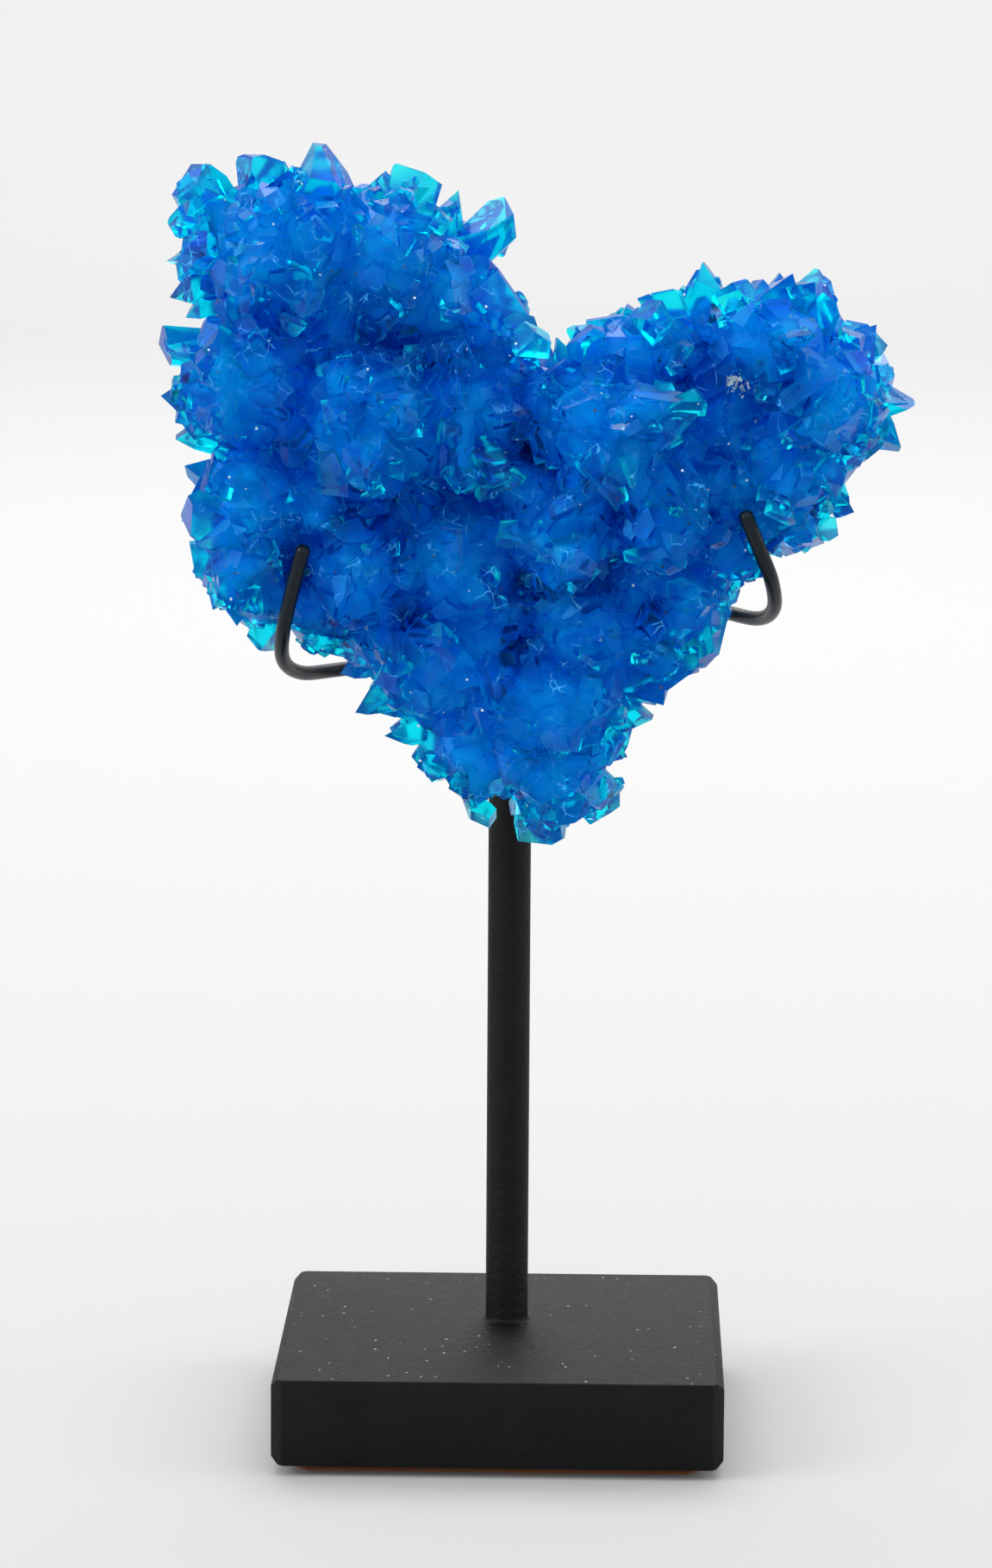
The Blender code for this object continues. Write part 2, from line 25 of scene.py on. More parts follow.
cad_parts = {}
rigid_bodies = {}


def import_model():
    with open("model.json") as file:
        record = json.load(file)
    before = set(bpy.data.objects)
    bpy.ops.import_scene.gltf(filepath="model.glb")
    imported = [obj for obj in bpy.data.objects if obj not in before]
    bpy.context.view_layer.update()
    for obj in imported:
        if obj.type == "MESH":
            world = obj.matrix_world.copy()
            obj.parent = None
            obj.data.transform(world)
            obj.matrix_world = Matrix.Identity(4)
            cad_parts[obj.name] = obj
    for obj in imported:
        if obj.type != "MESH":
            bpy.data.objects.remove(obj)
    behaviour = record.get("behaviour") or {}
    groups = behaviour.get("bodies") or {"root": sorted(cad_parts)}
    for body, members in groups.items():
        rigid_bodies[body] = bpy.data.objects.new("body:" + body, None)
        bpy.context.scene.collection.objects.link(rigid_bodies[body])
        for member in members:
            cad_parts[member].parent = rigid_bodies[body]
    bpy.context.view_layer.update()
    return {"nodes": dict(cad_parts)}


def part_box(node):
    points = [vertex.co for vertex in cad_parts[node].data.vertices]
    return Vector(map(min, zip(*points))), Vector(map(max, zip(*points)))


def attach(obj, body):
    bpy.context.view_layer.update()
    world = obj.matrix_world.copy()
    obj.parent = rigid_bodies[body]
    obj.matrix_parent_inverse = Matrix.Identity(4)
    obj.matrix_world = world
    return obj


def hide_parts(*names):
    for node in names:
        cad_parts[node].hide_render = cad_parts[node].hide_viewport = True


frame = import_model()

bl_info = {
    "name": "Chalcanthite cluster on a stand",
    "version": (1, 0, 0),
    "blender": (4, 5, 0),
    "location": "3D View > Sidebar > Mineral",
    "description": "Builds a chalcanthite cluster, its wire stand and a pale studio stage",
    "category": "Add Mesh",
}

MM = 0.001
BODY = "root"

# How far the surface is drawn in at the rim, so that the crystals there come to its old outline.
RIM_DRAWN_IN = 0.9 * MM
# How often the surface's directions are averaged for this, and for the core.
SMOOTHING_ROUNDS = 6
# The share of a crystal's length that lies under the surface.
ROOT_SHARE = 0.6
# The room that the crystals leave round the stand.
CLEARANCE = 0.3 * MM
# The druse grows where the surface doesn't stand out from its surroundings by more than this.
HOLLOW_FROM = -0.05 * MM
# How deep the cloudy core lies under the surface, on the front and the back and at the rim.
CORE_DEPTH = 1.0 * MM
CORE_RIM_DEPTH = 3.2 * MM

# Where the stand's hooks run, in mm, from the tip in front of the cluster to the post.
HOOKS = {
    "prong_left": (
        (-22.0, -21.5, 104.0), (-23.1, -20.4, 99.9), (-24.4, -17.6, 94.5),
        (-24.6, -13.0, 90.6), (-22.9, -7.8, 88.5), (-19.6, -2.2, 88.0),
        (-14.0, 1.4, 88.4), (-7.0, 3.2, 89.8), (-0.6, 3.5, 90.4),
    ),
    "prong_right": (
        (26.6, -21.5, 108.2), (28.1, -20.4, 104.5), (29.6, -17.8, 100.6),
        (30.0, -13.2, 97.0), (28.4, -7.8, 95.1), (24.6, -2.2, 95.1),
        (18.5, 1.4, 95.9), (10.0, 3.2, 97.4), (1.6, 3.5, 98.0),
    ),
}

# Crystals that stand out at the rim: the kind of end, the tip's x and z in mm, the direction in
# degrees anticlockwise from +X, then the width, the thickness and the free length in mm.
RIM_CRYSTALS = (
    ("wedge", -20.4, 147.6, 84, 8.5, 6.0, 6.5),
    ("block", -27.4, 146.8, 96, 6.5, 5.0, 6.0),
    ("block", -35.4, 145.0, 122, 7.0, 5.5, 7.5),
    ("block", -37.3, 139.8, 160, 5.0, 4.0, 4.5),
    ("wedge", -37.6, 135.2, 178, 4.0, 4.0, 4.0),
    ("point", -37.4, 131.2, 190, 4.5, 4.0, 4.5),
    ("wedge", -35.6, 128.9, 205, 4.0, 4.0, 4.5),
    ("block", -38.8, 125.2, 176, 4.6, 5.0, 6.5),
    ("point", -38.4, 120.0, 188, 5.5, 4.5, 5.0),
    ("wedge", -36.8, 115.0, 180, 5.0, 4.0, 4.5),
    ("wedge", -35.6, 111.4, 176, 4.4, 4.0, 4.5),
    ("point", -35.6, 108.2, 196, 5.0, 4.5, 4.5),
    ("block", -35.3, 102.4, 176, 5.4, 4.5, 5.5),
    ("point", -31.2, 95.4, 228, 5.0, 4.5, 4.5),
    ("block", -27.2, 91.6, 250, 4.6, 4.2, 4.8),
    ("wedge", -17.6, 88.2, 215, 3.6, 4.0, 4.0),
    ("point", -16.6, 84.4, 205, 4.5, 4.0, 5.0),
    ("wedge", -13.4, 82.4, 190, 5.0, 3.6, 5.0),
    ("block", -8.4, 77.0, 238, 6.5, 5.0, 4.8),
    ("wedge", -3.8, 73.0, 250, 5.0, 4.5, 4.2),
    ("wedge", 4.4, 70.0, 268, 5.6, 6.0, 5.0),
    ("wedge", 10.6, 73.2, 305, 5.0, 4.5, 4.5),
    ("point", 13.9, 79.6, 330, 5.0, 4.5, 4.5),
    ("wedge", 16.6, 83.8, 335, 5.0, 4.0, 4.5),
    ("block", 18.8, 88.6, 345, 6.0, 5.0, 5.0),
    ("block", 22.4, 90.0, 280, 5.6, 4.6, 6.0),
    ("point", 24.8, 95.4, 345, 4.4, 4.0, 3.6),
    ("wedge", 33.6, 103.6, 290, 5.0, 4.0, 4.5),
    ("point", 38.6, 107.4, 310, 5.0, 4.5, 4.5),
    ("wedge", 43.8, 114.6, 325, 5.0, 4.2, 4.8),
    ("point", 45.4, 119.8, 2, 4.6, 4.4, 5.5),
    ("block", 42.6, 123.6, 16, 4.6, 4.6, 4.5),
    ("point", 41.2, 128.2, 40, 4.5, 4.0, 4.5),
    ("wedge", 35.4, 134.4, 66, 6.5, 5.0, 5.5),
    ("wedge", 30.2, 134.6, 84, 6.0, 4.6, 5.0),
    ("wedge", 22.0, 135.2, 88, 5.8, 5.0, 6.5),
    ("point", 9.2, 128.6, 128, 4.0, 3.0, 4.0),
    ("block", 6.0, 126.9, 92, 2.4, 2.4, 3.6),
    ("block", 3.6, 122.8, 305, 6.0, 8.0, 9.0),
    ("block", 20.6, 127.9, 9, 5.0, 8.0, 8.0),
    ("block", 0.6, 140.9, 44, 5.6, 4.8, 7.5),
    ("wedge", -5.0, 142.4, 62, 4.6, 4.0, 4.6),
    ("block", -9.4, 145.0, 70, 6.2, 5.0, 5.5),
    ("wedge", -14.2, 144.6, 98, 4.0, 3.6, 4.0),
)
RIM_Y = -11.5
RIM_ROOT = 3.5

# Blades that catch the eye on the front: the kind of end, the tip and the foot, and the width
# and thickness, in mm.
FACE_CRYSTALS = (
    ("wedge", (14.3, -26.0, 112.0), (13.0, -20.5, 120.4), 3.0, 1.6),
    ("wedge", (21.2, -24.5, 119.8), (15.0, -20.5, 116.0), 3.2, 1.6),
    ("wedge", (9.0, -24.5, 118.6), (13.6, -20.0, 115.6), 2.8, 1.5),
    ("point", (13.0, -24.5, 122.4), (13.4, -20.0, 117.0), 2.8, 1.6),
    ("wedge", (22.9, -23.0, 107.6), (18.4, -19.5, 113.8), 3.8, 2.0),
    ("wedge", (18.5, -22.0, 103.2), (20.6, -18.0, 106.6), 2.8, 1.8),
    ("wedge", (4.6, -24.0, 108.6), (11.5, -19.5, 110.4), 4.4, 2.2),
    ("wedge", (-21.6, -22.5, 135.2), (-20.4, -18.5, 140.0), 2.8, 1.8),
    ("block", (-5.0, -21.8, 125.6), (-5.2, -17.0, 120.4), 2.5, 2.4),
    ("block", (-5.9, -23.2, 118.4), (-6.1, -18.5, 112.6), 2.9, 2.6),
    ("wedge", (-18.6, -24.5, 116.0), (-18.8, -19.5, 110.6), 3.4, 2.0),
    ("wedge", (-35.0, -19.0, 109.6), (-29.6, -15.5, 104.6), 6.4, 4.4),
    ("wedge", (29.8, -22.0, 120.2), (35.6, -18.0, 122.6), 4.6, 2.6),
)

# Where the white powder lies on the front, and how far it reaches, in mm.
POWDER_AT = (25.4, -15.4, 123.0)
POWDER_REACH = 2.8

# How the crystals bend light, and the blue that they give to what they mirror.
CRYSTAL_IOR = 1.53
MIRRORED_BLUE = (0.02, 0.5, 1.0, 1.0)

# A chalcanthite prism: its long faces, each pair a turn round the length and a reach from the
# middle, and the slanting faces that end it, each a turn, a tilt away from the tip and a reach.
PRISM_FACES = ((0, 0.5), (79, 0.5), (38, 0.58))
END_FACES = {
    "point": ((20, 50, 0.62), (160, 52, 0.66), (262, 38, 0.80)),
    "wedge": ((8, 58, 0.52), (176, 34, 0.80), (95, 26, 0.90)),
    "block": ((40, 14, 0.97), (200, 52, 0.74), (300, 60, 0.66)),
}
HABITS_EACH = {"point": 7, "wedge": 8, "block": 4}

# The two layers of crystals, each with its first random seed, and the settings that size them.
LAYERS = {"Main": 10, "Druse": 50}
LAYER_SIZES = ("spacing", "smallest", "largest")


def linear(code):
    """A colour given as sRGB hex, as the linear values that Blender uses."""
    channels = [int(code[i : i + 2], 16) / 255 for i in (1, 3, 5)]
    return [c / 12.92 if c <= 0.04045 else ((c + 0.055) / 1.055) ** 2.4 for c in channels]


def rgba(code):
    return (*linear(code), 1.0)


def length_setting(name, default, description):
    return FloatProperty(name=name, description=description, default=default, unit="LENGTH")


def colour_setting(name, code, description):
    values = linear(code)
    return FloatVectorProperty(name=name, description=description, default=values, subtype="COLOR")


class CrystalSettings(bpy.types.PropertyGroup):
    """Sizes and colours of the chalcanthite cluster."""

    main_spacing: length_setting(
        "Main spacing", 2.1 * MM, "Least distance between the crystals that cover the cluster"
    )
    main_smallest: length_setting(
        "Main smallest", 1.6 * MM, "Width of the smallest of these crystals"
    )
    main_largest: length_setting(
        "Main largest", 5.2 * MM, "Width of the largest of these crystals"
    )
    druse_spacing: length_setting(
        "Druse spacing", 1.2 * MM, "Least distance between the crystals that fill the hollows"
    )
    druse_smallest: length_setting(
        "Druse smallest", 0.7 * MM, "Width of the smallest crystals in the hollows"
    )
    druse_largest: length_setting(
        "Druse largest", 1.8 * MM, "Width of the largest crystals in the hollows"
    )
    wander: FloatProperty(
        name="Wander",
        description="How far a crystal may lean away from the surface's own direction",
        default=0.9,
    )
    seed: IntProperty(
        name="Seed",
        description="Gives another arrangement of crystals",
        default=7,
    )
    veils: colour_setting(
        "Veil colour", "#0690FF", "Colour of the cloudy flaws inside the crystals"
    )
    # The worn edges' pale cyan is partly wear and partly a painted highlight.
    edges: colour_setting("Edge colour", "#22BCF4", "Colour of the crystals' worn edges")


class StandSettings(bpy.types.PropertyGroup):
    """Sizes and colours of the stand."""

    wire_radius: length_setting("Wire radius", 0.82 * MM, "Radius of the painted hook wire")
    post_radius: length_setting("Post radius", 2.45 * MM, "Radius of the painted round post")
    paint: colour_setting("Paint", "#0A0B0C", "Colour of the powder coat")
    enamel: colour_setting("Enamel", "#080C12", "Colour of the hooks' enamel")
    felt: colour_setting("Felt", "#0C0C0D", "Colour of the felt foot")


class StageSettings(bpy.types.PropertyGroup):
    """The pale studio round the object."""

    sweep: colour_setting("Sweep", "#B8B8B8", "Colour of the floor and backdrop")
    ambient: FloatProperty(
        name="Ambient",
        description="Strength of the even light from all round",
        default=1.17,
    )


def link(name, mesh):
    made = bpy.data.objects.new(name, mesh)
    bpy.context.scene.collection.objects.link(made)
    return made


def opened(*meshes):
    """An editable copy of these meshes together."""
    shape = bmesh.new()
    for mesh in meshes:
        shape.from_mesh(mesh)
    return shape


def mesh_from(name, shape):
    mesh = bpy.data.meshes.new(name)
    shape.to_mesh(mesh)
    shape.free()
    return mesh


def settle(piece, slot, *nodes):
    """Fixes a finished piece to the frame, in place of its CAD nodes. The slot is not used."""
    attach(piece, BODY)
    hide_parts(*nodes)


def set_stops(elements, stops):
    """Sets a colour ramp's (position, colour) stops."""
    while len(elements) > 1:
        elements.remove(elements[-1])
    elements[0].position = stops[0][0]
    elements[0].color = stops[0][1]
    for position, colour in stops[1:]:
        elements.new(position).color = colour


def fill(tree, node, settings):
    """Sets a node's properties and inputs. A node as a value is linked in by its first output."""
    for name, value in settings.items():
        if name == "stops":
            set_stops(node.color_ramp.elements, value)
        elif isinstance(value, bpy.types.Node):
            tree.links.new(value.outputs[0], node.inputs[name])
        elif isinstance(value, bpy.types.NodeSocket):
            tree.links.new(value, node.inputs[name])
        elif isinstance(name, str) and hasattr(node, name):
            setattr(node, name, value)
        else:
            node.inputs[name].default_value = value


def add(tree, kind, settings=None):
    """Adds a node with its settings and links."""
    node = tree.nodes.new(kind)
    fill(tree, node, settings or {})
    return node


def new_tree(name, inputs):
    """A Geometry Nodes tree with these named inputs, its group input and its group output."""
    tree = bpy.data.node_groups.new(name, "GeometryNodeTree")
    tree.interface.new_socket("Geometry", in_out="OUTPUT", socket_type="NodeSocketGeometry")
    for label, kind in inputs.items():
        tree.interface.new_socket(label, in_out="INPUT", socket_type="NodeSocket" + kind)
    return tree, tree.nodes.new("NodeGroupInput"), tree.nodes.new("NodeGroupOutput")


def grown_mesh(host, tree, values):
    """Runs the tree on the host object with these values, and returns the plain mesh it makes."""
    modifier = host.modifiers.new(tree.name, "NODES")
    modifier.node_group = tree
    sockets = {s.name: s.identifier for s in tree.interface.items_tree if s.in_out == "INPUT"}
    for label, value in values.items():
        modifier[sockets[label]] = value
    host.update_tag()
    graph = bpy.context.evaluated_depsgraph_get()
    mesh = bpy.data.meshes.new_from_object(host.evaluated_get(graph))
    host.modifiers.remove(modifier)
    return mesh


def merged_copy(node):
    """A CAD node's mesh with its loose triangles joined."""
    shape = opened(frame["nodes"][node].data)
    bmesh.ops.remove_doubles(shape, verts=shape.verts, dist=0.0005 * MM)
    return mesh_from(node, shape)


def slice_off(shape, point, normal):
    """Cuts away what lies beyond the plane, and closes the cut."""
    everything = shape.verts[:] + shape.edges[:] + shape.faces[:]
    found = bmesh.ops.bisect_plane(
        shape, geom=everything, plane_co=point, plane_no=normal, dist=1e-6, clear_outer=True
    )
    edges = [item for item in found["geom_cut"] if isinstance(item, bmesh.types.BMEdge)]
    if len(edges) > 2:
        bmesh.ops.edgeloop_fill(shape, edges=edges)


def crystal_habit(rng, ends, root_share):
    """One crystal of unit width and length along +Z, whose root is that share of its length."""
    shape = bmesh.new()
    bmesh.ops.create_cube(shape, size=2.0)
    faces = []
    for turn, reach in PRISM_FACES:
        for side in (0, 180):
            faces.append((turn + side + rng.uniform(-5, 5), 90, reach * rng.uniform(0.9, 1.0)))
    for turn, tilt, reach in ends:
        share = reach * rng.uniform(0.92, 1.0)
        faces.append((turn + rng.uniform(-14, 14), tilt + rng.uniform(-6, 6), share))
    for turn, tilt, reach in faces:
        normal = Vector((0, 0, 1))
        normal.rotate(Matrix.Rotation(math.radians(tilt), 3, "Y"))
        normal.rotate(Matrix.Rotation(math.radians(turn), 3, "Z"))
        slice_off(shape, normal * reach, normal)
    slice_off(shape, Vector((0, 0, 0)), Vector((0, 0, -1)))
    height = max(vert.co.z for vert in shape.verts)
    low = Matrix.Translation((0, 0, -root_share))
    shape.transform(low @ Matrix.Diagonal((1, 1, 1 / height, 1)))
    bmesh.ops.recalc_face_normals(shape, faces=shape.faces)
    return mesh_from("habit", shape)


def habit_collection(rng, root_share):
    habits = bpy.data.collections.new("crystal habits")
    for kind, count in HABITS_EACH.items():
        for _ in range(count):
            habit = crystal_habit(rng, END_FACES[kind], root_share)
            habits.objects.link(bpy.data.objects.new("habit", habit))
    return habits


def tipped_crystal(rng, kind, tip, direction, spin, size):
    """One crystal on the line through the given tip, which it just reaches."""
    mesh = crystal_habit(rng, END_FACES[kind], 0.0)
    turn = Vector((0, 0, 1)).rotation_difference(direction).to_matrix().to_4x4()
    placed = turn @ Matrix.Rotation(spin, 4, "Z") @ Matrix.Diagonal((*size, 1))
    top = max(vert.co.z for vert in mesh.vertices)
    mesh.transform(Matrix.Translation(tip - placed @ Vector((0, 0, top))) @ placed)
    return bpy.data.objects.new("crystal", mesh)


def marked_collection(rng):
    """The crystals that stand out at the rim and on the front, each its own closed mesh."""
    marked = bpy.data.collections.new("crystals that stand out")
    for kind, tip_x, tip_z, degrees, width, thickness, free in RIM_CRYSTALS:
        angle = math.radians(degrees)
        lean = rng.uniform(-0.15, 0.15)
        direction = Vector((math.cos(angle), lean, math.sin(angle))).normalized()
        tip = Vector((tip_x, RIM_Y + rng.uniform(-2, 2), tip_z)) * MM
        spin = rng.uniform(-0.35, 0.35) + rng.choice((0, math.pi))
        size = (0.9 * width * MM, thickness * MM, (free + RIM_ROOT) * MM)
        marked.objects.link(tipped_crystal(rng, kind, tip, direction, spin, size))
    for kind, tip, foot, width, thickness in FACE_CRYSTALS:
        along = (Vector(tip) - Vector(foot)) * MM
        size = (width * MM, thickness * MM, along.length)
        crystal = tipped_crystal(rng, kind, Vector(tip) * MM, along.normalized(), 0.0, size)
        marked.objects.link(crystal)
    return marked


def smoothed_normals(shape, rounds):
    """Each corner's outward direction, averaged with its neighbours' this many times over."""
    outward = [vert.normal.copy() for vert in shape.verts]
    for _ in range(rounds):
        outward = [
            sum(
                (outward[edge.other_vert(vert).index] for edge in vert.link_edges),
                outward[vert.index],
            ).normalized()
            for vert in shape.verts
        ]
    return outward


def draw_in_rim(mesh, amount):
    """Draws the surface in at the rim, where the crystals' tips then come to its old outline."""
    shape = opened(mesh)
    for vert, direction in zip(shape.verts, smoothed_normals(shape, SMOOTHING_ROUNDS)):
        vert.co -= direction * amount * max(0.0, 1.0 - abs(direction.y) / 0.7)
    shape.to_mesh(mesh)
    shape.free()


def surface_shape(tree, host):
    """The host with its smoothed direction, and how far each point lies in a hollow."""
    normal = add(tree, "GeometryNodeInputNormal")
    position = add(tree, "GeometryNodeInputPosition")
    outward, evened = (
        add(tree, "GeometryNodeBlurAttribute", {
            "data_type": "FLOAT_VECTOR", "Iterations": rounds, "Value": source,
        })
        for source, rounds in ((normal, 8), (position, 10))
    )
    rise = add(tree, "ShaderNodeVectorMath", {"operation": "SUBTRACT", 0: evened, 1: position})
    hollow = add(tree, "ShaderNodeVectorMath", {"operation": "DOT_PRODUCT", 0: rise, 1: outward})
    kept = add(tree, "GeometryNodeCaptureAttribute", {"domain": "POINT"})
    kept.capture_items.new("VECTOR", "Outward")
    kept.capture_items.new("FLOAT", "Hollow")
    fill(tree, kept, {"Geometry": host, "Outward": outward, "Hollow": hollow.outputs["Value"]})
    return kept.outputs["Geometry"], kept.outputs["Outward"], kept.outputs["Hollow"]


def layer_of_crystals(tree, surface, distances, habits, value, layer, seed):
    """Instances of one size class on the surface, each in its own direction and size."""
    geometry, outward, hollow = surface
    to_stand, to_marked = distances
    points = add(tree, "GeometryNodeDistributePointsOnFaces", {
        "distribute_method": "POISSON", "Density Max": 9e5, "Mesh": geometry,
        "Distance Min": value[layer + " spacing"], "Seed": value["Seed"],
    })
    # The direction: the smoothed one, with some wander. Neighbours have about the same spin.
    lean = add(tree, "FunctionNodeRandomValue", {
        "data_type": "FLOAT_VECTOR", 0: (-0.5, -0.5, -0.5), 1: (0.5, 0.5, 0.5), "Seed": seed,
    })
    leaning = add(
        tree, "ShaderNodeVectorMath", {"operation": "SCALE", 0: lean, "Scale": value["Wander"]}
    )
    pointing = add(tree, "ShaderNodeVectorMath", {"operation": "ADD", 0: outward, 1: leaning})
    aligned = add(tree, "FunctionNodeAlignRotationToVector", {"axis": "Z", "Vector": pointing})
    groups = add(tree, "ShaderNodeTexNoise", {"Scale": 70.0, "Detail": 0.0})
    free = add(
        tree, "FunctionNodeRandomValue", {"data_type": "FLOAT", 2: 0.0, 3: 1.6, "Seed": seed + 1}
    )
    spin = add(tree, "ShaderNodeMath", {
        "operation": "MULTIPLY_ADD", 1: 16.0, 0: groups.outputs["Fac"], 2: free.outputs[1],
    })
    about = add(tree, "FunctionNodeAxisAngleToRotation", {"Angle": spin})
    turned = add(
        tree, "FunctionNodeRotateRotation", {"rotation_space": "LOCAL", 0: aligned, 1: about}
    )
    # The size: mostly small, never past the stand, and short where the cluster turns away.
    chance = add(
        tree, "FunctionNodeRandomValue", {"data_type": "FLOAT", 2: 0.0, 3: 1.0, "Seed": seed + 2}
    )
    mostly_low = add(tree, "ShaderNodeMath", {"operation": "POWER", 1: 1.8, 0: chance.outputs[1]})
    width = add(tree, "ShaderNodeMapRange", {
        "Value": mostly_low, "To Min": value[layer + " smallest"],
        "To Max": value[layer + " largest"],
    })
    room = add(
        tree, "ShaderNodeMath", {"operation": "SUBTRACT", 0: to_stand, 1: value["Clearance"]}
    )
    fitted = add(tree, "ShaderNodeMath", {"operation": "MINIMUM", 0: width, 1: room})
    sideways = add(tree, "ShaderNodeSeparateXYZ", {0: outward})
    facing = add(tree, "ShaderNodeMath", {"operation": "ABSOLUTE", 0: sideways.outputs["Y"]})
    reach = add(tree, "ShaderNodeMapRange", {
        "From Min": 0.25, "From Max": 0.85, "To Min": 0.5, "To Max": 1.1, "Value": facing,
    })
    slimness = add(
        tree, "FunctionNodeRandomValue", {"data_type": "FLOAT", 2: 0.34, 3: 0.8, "Seed": seed + 3}
    )
    thickness = add(
        tree, "ShaderNodeMath", {"operation": "MULTIPLY", 0: fitted, 1: slimness.outputs[1]}
    )
    length = add(tree, "ShaderNodeMath", {"operation": "MULTIPLY", 0: fitted, 1: reach})
    size = add(tree, "ShaderNodeCombineXYZ", {0: fitted, 1: thickness, 2: length})
    # No seat where the stand is near, or on a crystal that stands out.
    crowded = add(tree, "FunctionNodeCompare", {"operation": "LESS_THAN", 1: 0.5 * MM, 0: room})
    taken = add(tree, "FunctionNodeCompare", {"operation": "LESS_THAN", 1: 0.5 * MM, 0: to_marked})
    dropped = add(tree, "FunctionNodeBooleanMath", {"operation": "OR", 0: crowded, 1: taken})
    if layer == "Druse":
        open_face = add(
            tree, "FunctionNodeCompare", {"operation": "LESS_THAN", 0: hollow, 1: value["Hollow"]}
        )
        dropped = add(
            tree, "FunctionNodeBooleanMath", {"operation": "OR", 0: dropped, 1: open_face}
        )
    seats = add(tree, "GeometryNodeDeleteGeometry", {
        "domain": "POINT", "Geometry": points.outputs["Points"], "Selection": dropped,
    })
    return add(tree, "GeometryNodeInstanceOnPoints", {
        "Pick Instance": True, "Points": seats, "Instance": habits, "Rotation": turned,
        "Scale": size,
    })


def crystal_tree():
    """Grows two size classes of crystals on a surface, and joins them all in one body."""
    kinds = {"Geometry": "Geometry", "Habits": "Collection", "Marked": "Collection"}
    kinds |= {"Stand": "Object", "Material": "Material", "Seed": "Int"}
    kinds |= dict.fromkeys(("Hollow", "Wander", "Clearance"), "Float")
    for layer in LAYERS:
        kinds |= {f"{layer} {size}": "Float" for size in LAYER_SIZES}
    tree, given, result = new_tree("grow crystals", kinds)
    value = given.outputs
    surface = surface_shape(tree, value["Geometry"])
    habits, marked = (
        add(tree, "GeometryNodeCollectionInfo", {
            "Separate Children": True, "Reset Children": False, "Collection": value[name],
        })
        for name in ("Habits", "Marked")
    )
    marked_shape = add(tree, "GeometryNodeRealizeInstances", {0: marked})
    stand = add(tree, "GeometryNodeObjectInfo", {"Object": value["Stand"]})
    distances = []
    for near in (stand.outputs["Geometry"], marked_shape.outputs[0]):
        nearest = add(tree, "GeometryNodeProximity", {"target_element": "FACES", 0: near})
        distances.append(nearest.outputs["Distance"])
    joined = add(tree, "GeometryNodeMeshBoolean", {
        "operation": "UNION", "solver": "MANIFOLD", "Mesh 2": value["Geometry"],
    })
    fill(tree, joined, {"Mesh 2": marked})
    for layer, seed in LAYERS.items():
        crystals = layer_of_crystals(tree, surface, distances, habits, value, layer, seed)
        fill(tree, joined, {"Mesh 2": crystals})
    plain = add(tree, "GeometryNodeRealizeInstances", {0: joined})
    finished = add(
        tree, "GeometryNodeSetMaterial", {"Geometry": plain, "Material": value["Material"]}
    )
    fill(tree, result, {0: finished})
    return tree


def keep_outer_skin(mesh):
    """Drops closed pockets and loose crumbs, so that one outer skin is left."""
    shape = opened(mesh)
    bmesh.ops.remove_doubles(shape, verts=shape.verts, dist=0.001 * MM)
    bmesh.ops.dissolve_degenerate(shape, edges=shape.edges, dist=0.001 * MM)
    bmesh.ops.triangulate(shape, faces=shape.faces)
    seen = set()
    skins = []
    for start in shape.faces:
        if start in seen:
            continue
        skin = [start]
        seen.add(start)
        for face in skin:
            for edge in face.edges:
                for other in edge.link_faces:
                    if other not in seen:
                        seen.add(other)
                        skin.append(other)
        skins.append(skin)
    skins.sort(key=len)
    bmesh.ops.delete(shape, geom=[face for skin in skins[:-1] for face in skin], context="FACES")
    loose = [vert for vert in shape.verts if not vert.link_faces]
    bmesh.ops.delete(shape, geom=loose, context="VERTS")
    shape.to_mesh(mesh)
    shape.free()


def strayed(rng, along, spread):
    """A direction near the given one."""
    stray = Vector((rng.uniform(-1, 1), rng.uniform(-1, 1), rng.uniform(-1, 1)))
    return (along + spread * stray).normalized()


def mean_reach(tree, start, rays, most):
    """How far rays from a point get on average before they meet the surface."""
    total = 0.0
    for ray in rays:
        reached = tree.ray_cast(start + ray * 0.02 * MM, ray, most)[3]
        total += most if reached is None else reached
    return total / len(rays)


def evened(shape, values, rounds):
    """Each corner's value averaged with its neighbours', this many times over."""
    ends = np.array([[edge.verts[0].index, edge.verts[1].index] for edge in shape.edges])
    values = np.array(values)
    counts = np.bincount(ends.ravel(), minlength=len(values))
    for _ in range(rounds):
        sums = np.bincount(ends[:, 0], values[ends[:, 1]], len(values))
        sums += np.bincount(ends[:, 1], values[ends[:, 0]], len(values))
        values = (values + sums / counts) / 2
    return values


def mark_thickness(mesh):
    """Stores how much crystal lies about each corner on its inner side, in cm."""
    shape = opened(mesh)
    tree = BVHTree.FromBMesh(shape)
    rng = random.Random(5)
    depths = []
    for face in shape.faces:
        rays = [strayed(rng, -face.normal, 1.0) for _ in range(4)]
        inside = face.calc_center_median() - face.normal * 0.05 * MM
        depths.append(mean_reach(tree, inside, rays, 20 * MM) / (10 * MM))
    values = []
    for vert in shape.verts:
        shares = [face.calc_area() + 1e-12 for face in vert.link_faces]
        total = sum(share * depths[face.index] for share, face in zip(shares, vert.link_faces))
        values.append(total / sum(shares))
    values = evened(shape, values, 1)
    shape.free()
    mesh.attributes.new("thickness", "FLOAT", "POINT").data.foreach_set("value", values)


def mark_openness_for_painted_shade(mesh):
    """Stores how open each corner lies among the cluster's bulges, 0 shut in and 1 open, for the
    core's painted shade.
    """
    shape = opened(mesh)
    tree = BVHTree.FromBMesh(shape)
    rng = random.Random(5)
    far = 16 * MM
    values = []
    for vert in shape.verts:
        rays = [strayed(rng, vert.normal, 1.1) for _ in range(12)]
        values.append(mean_reach(tree, vert.co + 2.0 * MM * vert.normal, rays, far) / far)
    values = evened(shape, values, 3)
    shape.free()
    mesh.attributes.new("lumps", "FLOAT", "POINT").data.foreach_set("value", values)


